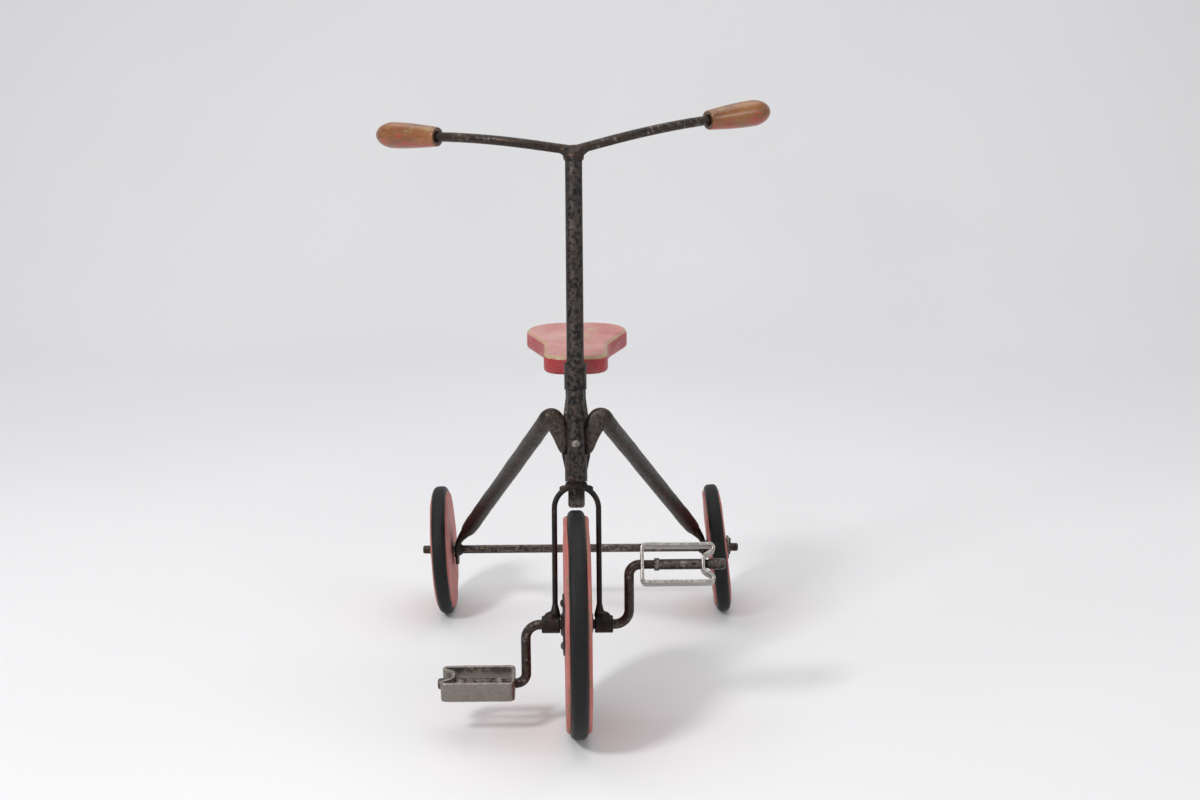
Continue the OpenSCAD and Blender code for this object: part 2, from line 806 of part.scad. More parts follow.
// A rubber tyre about X with a rounded tread.
module rubber_ring(r, tyre_w) {
    inside = r - tyre_proud - tyre_groove + fixed_gap;
    round = tyre_proud;
    half = tyre_w / 2;
    rotate([0, 90, 0]) rotate_extrude($fn = 180) polygon(concat(
        [[inside, -half]],
        arc([r - round, -half + round], round, -90, 0, 7),
        arc([r - round, half - round], round, 0, 90, 7),
        [[inside, half]]
    ));
}

disc_round = 2;

// Height of a leaning wheel's centre, with the lowest point of its tread on the floor.
rear_height_of = function (side)
    (rear_r - tyre_proud) * cos(lean_of(side))
    + (rear_tyre_w / 2 - tyre_proud) * sin(lean_of(side)) + tyre_proud;

module rear_wheel_frame(side) {
    translate([side * rear_track / 2, rear_y, rear_height_of(side)])
        rotate([0, -lean_of(side), 0]) children();
}

module rear_disc(side) {
    bore_r = rod_r + rear_play + rear_disc_w / 2 * tan(lean_of(side))
        + abs(rear_height_of(side) - rear_r);
    color(pink_wood) rear_wheel_frame(side)
        wood_disc(rear_r, rear_disc_w, rear_tyre_w, bore_r, disc_round);
}

module rear_tyre(side) {
    color(black_rubber) rear_wheel_frame(side) rubber_ring(rear_r, rear_tyre_w);
}

module rear_disc_left() { rear_disc(LEFT); }
module rear_disc_right() { rear_disc(RIGHT); }
module rear_tyre_left() { rear_tyre(LEFT); }
module rear_tyre_right() { rear_tyre(RIGHT); }

hub_screw_r = 2;
hub_screw_len = 20;

module at_hub_screws() {
    for (turn = [0:90:270])
        rotate([turn, 0, 0]) translate([0, 0, hub_screw_circle / 2]) children();
}

module hub_screw_holes(depth) {
    at_hub_screws() lay_x(hub_screw_r + fixed_gap, -hub_face - hub_plate_t - 1,
                          -hub_face + depth);
}

// The front disc was drilled a little out of square, and all that it carries
// stands askew with it.
module skewed() { rotate([0, 0, front_skew]) children(); }

module front_bore() { lay_x(rod_r + fixed_gap, -bearing_in, bearing_in); }

module front_disc() {
    color(red_wood) front_axle_frame() difference() {
        skewed() wood_disc(front_r, front_disc_w, front_tyre_w, rod_r / 2, disc_round);
        front_bore();
        skewed() hub_screw_holes(hub_screw_len + 1);
    }
}

module front_tyre() {
    color(black_rubber) front_axle_frame() skewed() rubber_ring(front_r, front_tyre_w);
}

module hub_plate() {
    outer = hub_plate_d / 2;
    color(iron) front_axle_frame() difference() {
        skewed() rotate([0, -90, 0]) translate([0, 0, hub_face + fixed_gap])
            rotate_extrude() polygon([
                [rod_r / 2, 0], [outer, 0], [outer, 1],
                [outer - 1.2, hub_plate_t - fixed_gap],
                [hub_boss_r + 2, hub_plate_t - fixed_gap],
                [hub_boss_r, hub_plate_t + hub_boss - fixed_gap],
                [rod_r / 2, hub_plate_t + hub_boss - fixed_gap]
            ]);
        front_bore();
        skewed() hub_screw_holes(0);
    }
}

module hub_screws() {
    color(worn_iron) front_axle_frame() skewed() at_hub_screws() {
        lay_x(hub_screw_r, -hub_face - hub_plate_t - 0.5, -hub_face + hub_screw_len);
        translate([-hub_face - hub_plate_t - fixed_gap, 0, 0]) rotate([0, -90, 0])
            domed_head(5.2, 3);
    }
}

module crank_split_pin() {
    color(bare_steel) front_axle_frame() translate([crank_pin_at, 0, 0])
        split_pin(hub_pin_r, rod_r + 1.4);
}

// ---------------------------------------------------------------- crank

// One throw of the crank, built upwards on the +X side.
module crank_throw(side) {
    foot = crank_foot_r;
    bend = crank_bend_r;
    translate([crank_x - foot, 0, foot]) rotate([90, 0, 0]) rotate([0, 0, -90])
        rotate_extrude(angle = 90) translate([foot, 0]) circle(rod_r);
    translate([crank_x, 0, foot]) cylinder(h = crank_r - foot - bend, r = rod_r);
    translate([crank_x + bend, 0, crank_r - bend]) rotate([90, 0, 0]) rotate([0, 0, 90])
        rotate_extrude(angle = 90) translate([bend, 0]) circle(rod_r);
    translate([0, 0, crank_r]) {
        lay_x(rod_r, crank_x + bend, crank_x + bend + 0.5);
        lay_x(spindle_r, crank_x + bend + 0.5, spindle_end_of(side));
    }
}

module crank() {
    straight = crank_x - crank_foot_r;
    color(worn_iron) front_axle_frame() difference() {
        union() {
            lay_x(rod_r, -straight, straight);
            crank_throw(RIGHT);
            mirror([1, 0, 0]) mirror([0, 0, 1]) crank_throw(LEFT);
        }
        translate([crank_pin_at, 0, -rod_r - 1])
            cylinder(h = 2 * rod_r + 2, r = hub_pin_r + fixed_gap, $fn = 32);
    }
}

// Frame of a pedal: X outwards along the spindle, Z up through the level loop.
module pedal_frame(side) {
    turn = side == LEFT ? pedal_turn_low : pedal_turn_high;
    front_axle_frame() translate([0, 0, side * crank_r]) rotate([turn, 0, 0])
        mirror([side == LEFT ? 1 : 0, 0, 0]) children();
}

// Middle line of the pedal's strip, anticlockwise in plan: a rectangle with
// rounded inner corners and a notch between two lobes at the outer end.
inner_round = 4.5;
lobe_r = 4.5;
notch_r = 7;
// Slope of the notch's flanks: 90 would run straight back along the spindle.
flank = 60;
strip_path = let (
    x0 = pedal_in + strip_t / 2,
    x1 = pedal_in + pedal_len - strip_t / 2,
    y1 = pedal_depth / 2 - strip_t / 2,
    notch_x = notch_at + strip_t / 2,
    lobe_y = y1 - lobe_r,
    // half of the notch's flat floor
    floor_y = max(0, lobe_y - (lobe_r + notch_r
        + (x1 - lobe_r - notch_x - notch_r) * cos(flank)) / sin(flank))
) concat(
    arc([x0 + inner_round, inner_round - y1], inner_round, 180, 270, 5),
    arc([x1 - lobe_r, -lobe_y], lobe_r, -90, flank, 7),
    arc([notch_x + notch_r, -floor_y], notch_r, 180 + flank, 180, 4),
    arc([notch_x + notch_r, floor_y], notch_r, 180, 180 - flank, 4),
    arc([x1 - lobe_r, lobe_y], lobe_r, -flank, 90, 7),
    arc([x0 + inner_round, y1 - inner_round], inner_round, 90, 180, 5)
);

module pedal_strip(side) {
    n = len(strip_path);
    color(bare_steel) pedal_frame(side) difference() {
        translate([0, 0, -strip_w / 2]) linear_extrude(strip_w)
            polygon(
                concat(beside(strip_path, -strip_t / 2, true),
                       beside(strip_path, strip_t / 2, true)),
                [[for (i = [0:n - 1]) i], [for (i = [0:n - 1]) n + i]]
            );
        lay_x(spindle_r + running_gap, pedal_in - 1, pedal_in + pedal_len);
    }
}

module pedal_sleeve(side) {
    color(worn_iron) pedal_frame(side) difference() {
        union() {
            lay_x(sleeve_r, sleeve_at, notch_at - fixed_gap);
            lay_x(sleeve_r + 1.3, sleeve_at, sleeve_at + 6);
        }
        lay_x(spindle_r + running_gap, sleeve_at - 1, notch_at + 1);
    }
}

module pedal_cap(side) {
    cap_r = 6.8;
    neck_r = 6.1;
    start = notch_at + strip_t + 5;
    spindle_end = spindle_end_of(side);
    cap_end = spindle_end + cap_over;
    color(worn_iron) pedal_frame(side) difference() {
        rotate([0, 90, 0]) rotate_extrude() polygon(concat(
            [[0, start], [neck_r, start], [neck_r, start + 1.5], [cap_r, start + 2.5]],
            arc([cap_r - 3, cap_end - 3], 3, 0, 90, 5),
            [[0, cap_end]]
        ));
        lay_x(spindle_r + fixed_gap, start - 1, spindle_end + fixed_gap);
    }
}

module pedal_strip_left() { pedal_strip(LEFT); }
module pedal_strip_right() { pedal_strip(RIGHT); }
module pedal_sleeve_left() { pedal_sleeve(LEFT); }
module pedal_sleeve_right() { pedal_sleeve(RIGHT); }
module pedal_cap_left() { pedal_cap(LEFT); }
module pedal_cap_right() { pedal_cap(RIGHT); }

// ---------------------------------------------------------------- nodes

backbone();
head_collar_upper();
head_collar_lower();
collar_welds();
leg_left();
leg_right();
rear_axle();
foot_welds();
axle_washers_inner();
axle_washers_outer();
axle_split_pins();
seat();
seat_bracket();
bracket_rivets();
seat_screws();
column_tube();
column_rivet();
fork();
fork_bearing_left();
fork_bearing_right();
handlebar();
handlebar_weld();
grip_left();
grip_right();
crank();
front_disc();
front_tyre();
hub_plate();
hub_screws();
crank_split_pin();
pedal_cap_left();
pedal_cap_right();
pedal_strip_left();
pedal_sleeve_left();
pedal_strip_right();
pedal_sleeve_right();
rear_disc_left();
rear_tyre_left();
rear_disc_right();
rear_tyre_right();
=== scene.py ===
# %% [markdown]
# # A child's tricycle with wooden wheels
#
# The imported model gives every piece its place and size. This lesson dresses it: it
# sets the camera, the light and the floor, makes the finishes (worn iron, rubbed
# steel, faded red paint on wood, lacquered wood, rubber) and rebuilds the pieces whose
# real shape is softer than a plain solid: the hammered legs, the saddle, the grips,
# the bar, the wheels and the pedals.

# %% Load the frame
import json
import math

import bmesh
import bpy
from mathutils import Matrix, Vector, noise


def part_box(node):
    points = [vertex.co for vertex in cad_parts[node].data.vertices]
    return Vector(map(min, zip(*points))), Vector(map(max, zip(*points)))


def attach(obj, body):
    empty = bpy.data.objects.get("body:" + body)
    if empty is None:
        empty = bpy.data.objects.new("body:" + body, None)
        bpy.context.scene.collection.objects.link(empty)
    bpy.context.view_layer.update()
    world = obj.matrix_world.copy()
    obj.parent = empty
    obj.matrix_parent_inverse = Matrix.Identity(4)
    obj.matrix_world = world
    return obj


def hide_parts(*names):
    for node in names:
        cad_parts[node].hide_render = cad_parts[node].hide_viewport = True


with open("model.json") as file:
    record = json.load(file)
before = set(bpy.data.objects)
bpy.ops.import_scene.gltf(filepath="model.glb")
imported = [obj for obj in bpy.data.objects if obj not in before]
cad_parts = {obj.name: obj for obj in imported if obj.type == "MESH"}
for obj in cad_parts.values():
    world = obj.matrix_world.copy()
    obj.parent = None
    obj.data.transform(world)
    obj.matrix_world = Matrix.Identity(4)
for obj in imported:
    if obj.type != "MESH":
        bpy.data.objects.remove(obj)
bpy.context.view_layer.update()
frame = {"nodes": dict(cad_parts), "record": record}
nodes = frame["nodes"]
joints = {joint["name"]: joint for joint in frame["record"]["behaviour"]["joints"]}

# %% [markdown]
# Everything below is placed from a few points of the frame: where the joints are, and
# how far the steering column leans.

# %% Reference points
axle = Vector(joints["front_spin"]["pos_m"])
column_up = Vector(joints["steer"]["axis"]).normalized()
column_back = Vector((0, column_up.z, -column_up.y))
rear_low, rear_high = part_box("rear_axle")
rear_mid = (Vector(rear_low) + Vector(rear_high)) / 2
print("front axle", tuple(axle), "rear axle", tuple(rear_mid))


def on_column(x, behind, up):
    """A point x to the side of the column's axis, behind it, and up it from the axle."""
    return axle + Vector((x, 0, 0)) + column_back * behind + column_up * up


# %% [markdown]
# ## The camera
# A long lens set back a good two metres, a little above the handlebar and tipped down,
# keeps the tricycle's proportions calm. The slight roll is that of a hand-levelled
# tripod.

# %% Camera
camera_data = bpy.data.cameras.new("studio_camera")
camera_data.lens = 60
camera_data.sensor_width = 36
camera = bpy.data.objects.new("studio_camera", camera_data)
camera.location = (0.030, -2.519, 0.9775)
tip_down = math.radians(13.5)
roll = math.radians(0.5)
camera.matrix_world = (
    Matrix.Translation(camera.location)
    @ Matrix.Rotation(math.pi / 2 - tip_down, 4, "X")
    @ Matrix.Rotation(-roll, 4, "Z")
)
bpy.context.scene.collection.objects.link(camera)
bpy.context.scene.camera = camera
print("camera at", tuple(round(v, 3) for v in camera.location))


# %% [markdown]
# ## Shader maths
# A small wrapper lets shader values be written as ordinary sums: `1 - mask * 0.5` adds
# the Math nodes it needs. Colours are blended with a Mix node, never with Math.

# %% Shader wrapper
class Socket:
    """A node socket that can be used in Python arithmetic."""

    def __init__(self, tree, socket):
        self.tree = tree
        self.socket = socket

    def maths(self, operation, first, second=0.0):
        return self.tree.node("ShaderNodeMath", {"operation": operation}, [first, second])

    def __add__(self, other):
        return self.maths("ADD", self, other)

    def __sub__(self, other):
        return self.maths("SUBTRACT", self, other)

    def __mul__(self, other):
        return self.maths("MULTIPLY", self, other)

    def __truediv__(self, other):
        return self.maths("DIVIDE", self, other)

    def __pow__(self, other):
        return self.maths("POWER", self, other)

    def __radd__(self, other):
        return self.maths("ADD", other, self)

    def __rsub__(self, other):
        return self.maths("SUBTRACT", other, self)

    def __rmul__(self, other):
        return self.maths("MULTIPLY", other, self)

    def __rtruediv__(self, other):
        return self.maths("DIVIDE", other, self)

    def clip(self):
        return self.tree.node("ShaderNodeClamp", {}, {"Value": self})

    def step(self, low, high):
        """0 below low, 1 above high, and a smooth ramp between."""
        return self.tree.node("ShaderNodeMapRange", {"interpolation_type": "SMOOTHSTEP"},
                              {"Value": self, "From Min": low, "From Max": high})


class Finish:
    """A material under construction: its nodes, and the links between them."""

    def __init__(self, name):
        self.material = bpy.data.materials.new(name)
        self.material.use_nodes = True
        self.nodes = self.material.node_tree.nodes
        self.links = self.material.node_tree.links
        self.nodes.clear()
        self.output = self.nodes.new("ShaderNodeOutputMaterial")

    def node(self, kind, settings=None, values=None, out=0):
        """Adds a node: its settings first, then its values or links. Gives one output."""
        made = self.nodes.new(kind)
        for name, value in (settings or {}).items():
            if name == "stops":
                self.set_stops(made.color_ramp, value)
            else:
                setattr(made, name, value)
        pairs = values.items() if isinstance(values, dict) else enumerate(values or [])
        for key, value in pairs:
            target = made.inputs[key]
            if isinstance(value, Socket):
                self.links.new(value.socket, target)
            elif hasattr(target.default_value, "__len__") and len(value) == 3 \
                    and len(target.default_value) == 4:
                target.default_value = (*value, 1.0)
            else:
                target.default_value = value
        return Socket(self, made.outputs[out])

    @staticmethod
    def set_stops(ramp, stops):
        while len(ramp.elements) < len(stops):
            ramp.elements.new(0.5)
        for element, (place, grey) in zip(ramp.elements, stops):
            element.position = place
            element.color = (grey, grey, grey, 1)

    def place(self, stretch=(1, 1, 1), shift=(0, 0, 0)):
        """The piece's own coordinates in metres, stretched and shifted."""
        coords = self.node("ShaderNodeTexCoord", out=3)
        return self.node("ShaderNodeMapping", {},
                         {"Vector": coords, "Scale": stretch, "Location": shift})

    def noise(self, size, detail=4.0, rough=0.55, stretch=(1, 1, 1), shift=(0, 0, 0)):
        """Cloudy noise from 0 to 1, with blotches about size metres across."""
        return self.node("ShaderNodeTexNoise", {"noise_dimensions": "3D"},
                         {"Vector": self.place(stretch, shift), "Scale": 1 / size,
                          "Detail": detail, "Roughness": rough})

    def pits(self, size, shift=(0, 0, 0)):
        """Distance to the nearest of many scattered points, about 0 to 1."""
        return self.node("ShaderNodeTexVoronoi", {"feature": "F1"},
                         {"Vector": self.place((1, 1, 1), shift), "Scale": 1 / size})

    def blend(self, mask, low, high):
        """The low colour where mask is 0, the high colour where it is 1."""
        mixed = self.nodes.new("ShaderNodeMix")
        mixed.data_type = "RGBA"
        for index, value in ((0, mask), (6, low), (7, high)):
            if isinstance(value, Socket):
                self.links.new(value.socket, mixed.inputs[index])
            elif index == 0:
                mixed.inputs[0].default_value = value
            else:
                mixed.inputs[index].default_value = (*value, 1.0)
        return Socket(self, mixed.outputs[2])

    def edges(self, sharp=0.06):
        """1 on raised edges and 0 on flat faces, from the mesh's own curvature."""
        point = self.node("ShaderNodeNewGeometry", out=7)
        return point.step(0.5 + sharp * 0.3, 0.5 + sharp)

    def attribute(self, name):
        return self.node("ShaderNodeAttribute", {"attribute_name": name}, out=2)

    def shade(self, colour, rough, metal=0.0, height=None, bump=0.3, reach=0.001,
              coat=0.0, coat_rough=0.2, specular=0.5):
        shader = self.nodes.new("ShaderNodeBsdfPrincipled")
        shader.inputs["Coat Roughness"].default_value = coat_rough
        shader.inputs["Specular IOR Level"].default_value = specular
        for name, value in (("Base Color", colour), ("Roughness", rough),
                            ("Metallic", metal), ("Coat Weight", coat)):
            if isinstance(value, Socket):
                self.links.new(value.socket, shader.inputs[name])
            elif name == "Base Color":
                shader.inputs[name].default_value = (*value, 1.0)
            else:
                shader.inputs[name].default_value = value
        if height is not None:
            relief = self.node("ShaderNodeBump", {},
                               {"Strength": bump, "Distance": reach, "Height": height})
            self.links.new(relief.socket, shader.inputs["Normal"])
        self.links.new(shader.outputs[0], self.output.inputs["Surface"])
        return self.material


# %% [markdown]
# ## Worn iron
# The frame was once painted almost black. Decades of hands and weather left a dark
# brown-grey skin with orange rust speckles, lighter rubbed patches and a fine pitted
# surface. On the legs' shoulders and hammered leaves the lighter patch is partly wear and
# partly painted light, for flats that lie in shade. Each of these is one mask, laid over
# the last.

# %% Iron finishes
def worn_iron(name, skin, brown, light, paint_left=0.5, rust_amount=0.5, rub=0.5,
              rough=0.42):
    """paint_left is the share of black paint, over brown metal with lighter rubbing."""
    f = Finish(name)
    patches = f.noise(0.0060, 8, 0.70)
    fine = f.noise(0.0035, 5, 0.65, shift=(3, 1, 2))
    grit = f.noise(0.0012, 3, 0.6, shift=(7, 2, 5))
    streaks = f.noise(0.006, 6, 0.7, shift=(1, 8, 4))
    # Lighter bare metal: streak wear, worn edges, and a stored mask that on the legs' shoulders
    # is partly wear and partly painted light, for flats that lie in shade.
    rubbed = (streaks.step(0.48, 0.66) * f.noise(0.030, 4, shift=(9, 3, 3)).step(0.38, 0.60)
              * rub + f.edges(0.10) * 0.5 + f.attribute("rubbed") * 0.8 * fine.step(0.3, 0.6))
    rubbed = rubbed.clip()
    metal_skin = f.blend(rubbed, brown, light)
    edge = 0.62 - 0.24 * paint_left
    paint = (patches * 0.75 + fine * 0.25).step(edge - 0.035, edge + 0.03)
    # Where that stored mask is set the black paint is left off too: partly wear, partly painted
    # light.
    colour = f.blend((paint * (1 - f.attribute("rubbed"))).clip(), metal_skin, skin)
    rust_zone = f.noise(0.022, 4, shift=(2, 6, 1)).step(0.46, 0.64)
    rust = (fine.step(0.50, 0.64) * rust_zone * rust_amount).clip()
    colour = f.blend(rust, colour, (0.135, 0.048, 0.021))
    chips = (1 - f.pits(0.0045, (5, 5, 5)).step(0.08, 0.20)) * streaks.step(0.46, 0.56)
    colour = f.blend((chips * 0.75).clip(), colour, (0.0045, 0.0042, 0.0045))
    roughness = rough + rust * 0.3 - paint * 0.12 + (fine - 0.5) * 0.25
    metal = (0.75 - paint * 0.6 - rust * 0.5).clip()
    height = fine * 0.5 + grit * 0.25 + paint * 0.35 - rust * 0.3 - chips * 0.6
    return f.shade(colour, roughness.clip(), metal, height, 0.6, 0.0006, specular=0.28)


iron = worn_iron("worn_black_iron", (0.0065, 0.0067, 0.0074), (0.029, 0.022, 0.0185),
                 (0.105, 0.090, 0.079), 0.50, 0.45, 0.55, 0.44)
leg_iron = worn_iron("worn_leg_iron", (0.0080, 0.0070, 0.0065), (0.030, 0.021, 0.0160),
                     (0.115, 0.095, 0.080), 0.45, 0.85, 0.50, 0.46)
brown_iron = worn_iron("brown_forged_iron", (0.013, 0.0115, 0.0105), (0.055, 0.044, 0.037),
                       (0.26, 0.235, 0.21), 0.35, 0.6, 0.9, 0.44)
bar_iron = worn_iron("rubbed_bar_iron", (0.013, 0.011, 0.0105), (0.050, 0.037, 0.030),
                     (0.24, 0.205, 0.18), 0.35, 0.5, 1.0, 0.38)
dark_steel = worn_iron("dark_small_steel", (0.016, 0.0145, 0.0135), (0.095, 0.077, 0.064),
                       (0.32, 0.29, 0.26), 0.35, 0.6, 0.9, 0.40)
print("iron finishes:", iron.name, leg_iron.name, brown_iron.name, bar_iron.name,
      dark_steel.name)


# %% [markdown]
# ## Rubbed pedal steel
# Shoes polish a pedal's edges to bare metal while rust stays on the flat of the strip.

# %% Pedal steel
def rubbed_steel(name, base, bright, rust_amount, rim=(0.50, 0.475, 0.445)):
    f = Finish(name)
    clouds = f.noise(0.016, 5, 0.6)
    fine = f.noise(0.0045, 4, 0.6, shift=(4, 4, 1))
    grit = f.noise(0.0018, 2, 0.5, shift=(2, 8, 6))
    colour = f.blend(clouds.step(0.32, 0.70), base, bright)
    rust_zone = (clouds * 0.5 + f.noise(0.009, 4, 0.6, shift=(1, 7, 2)) * 0.5).step(0.40, 0.60)
    rust = (fine.step(0.44, 0.60) * rust_zone * rust_amount).clip()
    colour = f.blend(rust, colour, (0.070, 0.034, 0.020))
    black = (grit.step(0.52, 0.64) * rust_zone * rust_amount * 0.8).clip()
    colour = f.blend(black, colour, (0.026, 0.018, 0.014))
    edge = (f.attribute("edge") * (0.35 + fine)).clip()
    colour = f.blend(edge, colour, rim)
    roughness = (0.38 + rust * 0.35 - edge * 0.12 + (fine - 0.5) * 0.25).clip()
    height = fine * 0.6 - rust * 0.5 - black * 0.4
    return f.shade(colour, roughness, (0.85 - rust * 0.6).clip(), height, 0.5, 0.0005)


pedal_steel = rubbed_steel("rubbed_pedal_steel", (0.070, 0.060, 0.053), (0.16, 0.145, 0.13),
                           0.8)
rusty_pedal = rubbed_steel("rusty_pedal_steel", (0.045, 0.033, 0.026), (0.105, 0.084, 0.070),
                           1.0, (0.34, 0.31, 0.28))
bright_steel = rubbed_steel("bright_split_pin_steel", (0.14, 0.125, 0.11), (0.30, 0.28, 0.25),
                            0.5)
print("steel finishes:", pedal_steel.name, rusty_pedal.name, bright_steel.name)


# %% [markdown]
# ## Faded red paint on wood
# The seat and the wheels carry thin red paint that sun and hands have faded to pink.
# The grain runs through it as fine lines, and along the edges the paint is gone and
# the wood shows. A `wear` attribute on the mesh says where the edges are.

# %% Painted wood
def painted_wood(name, deep, faded, bare, along, fade=0.5, rough=0.5, coat=0.15):
    """along is the direction of the grain: the pattern is stretched that way."""
    f = Finish(name)
    stretch = tuple(0.12 if axis == along else 1.0 for axis in "XYZ")
    grain = f.noise(0.0022, 5, 0.7, stretch, (1, 2, 3))
    bands = f.noise(0.0075, 4, 0.6, stretch, (4, 1, 6))
    clouds = f.noise(0.045, 5, 0.6, shift=(2, 2, 8))
    worn = f.attribute("wear")
    scuffs = f.noise(0.006, 6, 0.7, shift=(6, 3, 1))
    fading = (f.attribute("fade") * fade + (clouds - 0.5) * 1.1 + (bands - 0.5) * 0.5).clip()
    colour = f.blend(fading, deep, faded)
    colour = f.blend((grain.step(0.52, 0.70) * 0.30).clip(), colour, faded)
    lines = (grain.step(0.60, 0.70) * bands.step(0.45, 0.60) * 0.45).clip()
    colour = f.blend(lines, colour, tuple(c * 0.42 for c in deep))
    gone = (worn + (scuffs - 0.5) * 1.5 + (bands - 0.5) * 0.5).step(0.48, 0.80)
    wood = f.blend(grain.step(0.35, 0.65), bare, tuple(c * 0.72 for c in bare))
    colour = f.blend(gone, colour, wood)
    specks = (1 - f.pits(0.0085, (3, 3, 9)).step(0.06, 0.15)) * scuffs.step(0.5, 0.65)
    colour = f.blend((specks * 0.7).clip(), colour, (0.09, 0.035, 0.025))
    roughness = (rough + gone * 0.12 + (scuffs - 0.5) * 0.25).clip()
    height = (1 - gone) * 0.5 + grain * 0.35 - lines * 0.5 - specks * 0.5
    return f.shade(colour, roughness, 0.0, height, 0.35, 0.0005, coat, 0.3)


seat_paint = painted_wood("faded_seat_paint", (0.34, 0.014, 0.020), (0.58, 0.29, 0.255),
                          (0.50, 0.37, 0.21), "Y", 0.95, 0.48, 0.2)
wheel_paint = painted_wood("faded_wheel_paint", (0.33, 0.045, 0.042), (0.56, 0.21, 0.18),
                           (0.34, 0.17, 0.11), "Z", 0.75, 0.58, 0.05)
print("painted wood:", seat_paint.name, wheel_paint.name)


# %% [markdown]
# ## Lacquered grips
# The grips are turned wood under old lacquer: orange-brown, greenish yellow where the
# lacquer has thinned on top, and red where paint is left below.

# %% Grip wood
def lacquered_wood(name):
    f = Finish(name)
    stretch = (0.14, 0.20, 0.5)
    grain = f.noise(0.0020, 5, 0.7, stretch, (1, 5, 3))
    clouds = f.noise(0.018, 5, 0.65, (0.5, 0.6, 1), (8, 2, 1))
    patches = f.noise(0.0085, 6, 0.7, (0.5, 0.6, 1), (3, 6, 2))
    under = f.attribute("underside")
    colour = f.blend(clouds.step(0.34, 0.66), (0.17, 0.047, 0.012), (0.30, 0.112, 0.026))
    yellow = (patches.step(0.52, 0.66) * (1 - under) * 0.75).clip()
    colour = f.blend(yellow, colour, (0.30, 0.215, 0.055))
    red = (under + (patches - 0.5) * 2.2 + (clouds - 0.5) * 1.4).step(0.62, 0.92)
    colour = f.blend((red * 0.85).clip(), colour, (0.34, 0.030, 0.014))
    dark = (grain.step(0.58, 0.72) * 0.5).clip()
    colour = f.blend(dark, colour, (0.085, 0.030, 0.012))
    mouth = f.attribute("mouth")
    colour = f.blend(mouth, colour, (0.10, 0.045, 0.022))
    height = grain * 0.3 + patches * 0.4 - dark * 0.3
    return f.shade(colour, (0.36 + (patches - 0.5) * 0.3).clip(), 0.0, height, 0.3, 0.0005,
                   0.5, 0.16)


grip_wood = lacquered_wood("lacquered_grip_wood")
print("grip wood:", grip_wood.name)


# %% [markdown]
# ## Rubber
# Old solid rubber is dark grey rather than black. The tread is scuffed and dusty, and
# the sides keep a soft sheen.

# %% Rubber
def old_rubber(name):
    f = Finish(name)
    dust = f.noise(0.012, 6, 0.65)
    grit = f.noise(0.0011, 4, 0.6, shift=(4, 2, 7))
    scratch = f.noise(0.003, 5, 0.7, (0.25, 1, 1), (2, 2, 2))
    colour = f.blend(dust.step(0.38, 0.70), (0.0040, 0.0042, 0.0048), (0.0095, 0.0095, 0.0100))
    tread = f.attribute("tread")
    colour = f.blend((tread * (scratch - 0.15) * 0.9).clip(), colour, (0.022, 0.0215, 0.0215))
    nicks = (1 - f.pits(0.007, (1, 1, 4)).step(0.05, 0.13)) * dust.step(0.45, 0.6)
    colour = f.blend((nicks * 0.6).clip(), colour, (0.07, 0.066, 0.062))
    roughness = (0.46 + (dust - 0.5) * 0.3 + tread * 0.12).clip()
    height = grit * 0.4 + scratch * 0.3 - nicks * 0.8
    return f.shade(colour, roughness, 0.0, height, 0.4, 0.0004, specular=0.22)


rubber = old_rubber("old_black_rubber")
print("rubber:", rubber.name)


# %% [markdown]
# ## Helpers for meshes
# `new_piece` turns points and faces into an object. `loft` joins a row of closed rings,
# which suits every bar, pipe and hammered end on this tricycle.

# %% Mesh helpers
def new_piece(name, points, faces, body, finish, smooth=True):
    mesh = bpy.data.meshes.new(name)
    mesh.from_pydata([tuple(p) for p in points], [], faces)
    mesh.validate()
    work = bmesh.new()
    work.from_mesh(mesh)
    bmesh.ops.recalc_face_normals(work, faces=work.faces)
    work.to_mesh(mesh)
    work.free()
    for face in mesh.polygons:
        face.use_smooth = smooth
    mesh.materials.append(finish)
    piece = bpy.data.objects.new(name, mesh)
    bpy.context.scene.collection.objects.link(piece)
    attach(piece, body)
    return piece


def loft(rings, closed=False):
    """Points and faces of a skin over rings of equal length, capped unless closed."""
    count = len(rings[0])
    points = [p for ring in rings for p in ring]
    faces = []
    rows = len(rings) if closed else len(rings) - 1
    for row in range(rows):
        here, there = row * count, (row + 1) % len(rings) * count
        for i in range(count):
            j = (i + 1) % count
            faces.append((here + i, here + j, there + j, there + i))
    if not closed:
        faces.append(tuple(range(count - 1, -1, -1)))
        faces.append(tuple(range((len(rings) - 1) * count, len(rings) * count)))
    return points, faces


def set_values(piece, name, formula):
    """Stores formula(point) on each vertex, for the finish to read."""
    data = piece.data.attributes.new(name, "FLOAT", "POINT")
    for vertex, value in zip(piece.data.vertices, data.data):
        value.value = formula(vertex.co)


def soften(piece, width=0.0006, segments=2, angle=30):
    """Rounds the sharp edges a little, as handling does."""
    bevel = piece.modifiers.new("softened_edges", "BEVEL")
    bevel.width = width
    bevel.segments = segments
    bevel.limit_method = "ANGLE"
    bevel.angle_limit = math.radians(angle)
    bevel.harden_normals = False


def dress(names, finish):
    """Gives CAD nodes that already have the right shape their finish."""
    for name in names:
        node = nodes[name]
        node.data.materials.clear()
        node.data.materials.append(finish)


# %% [markdown]
# ## Tyres and wooden discs
# A wheel is a turned plank disc with a rubber tyre pressed into its rim. Both are
# outlines turned about the axle. The wood's two faces meet the rim in a rounded edge
# where the paint has worn off, and a very slight wobble keeps the rim from looking
# machined.

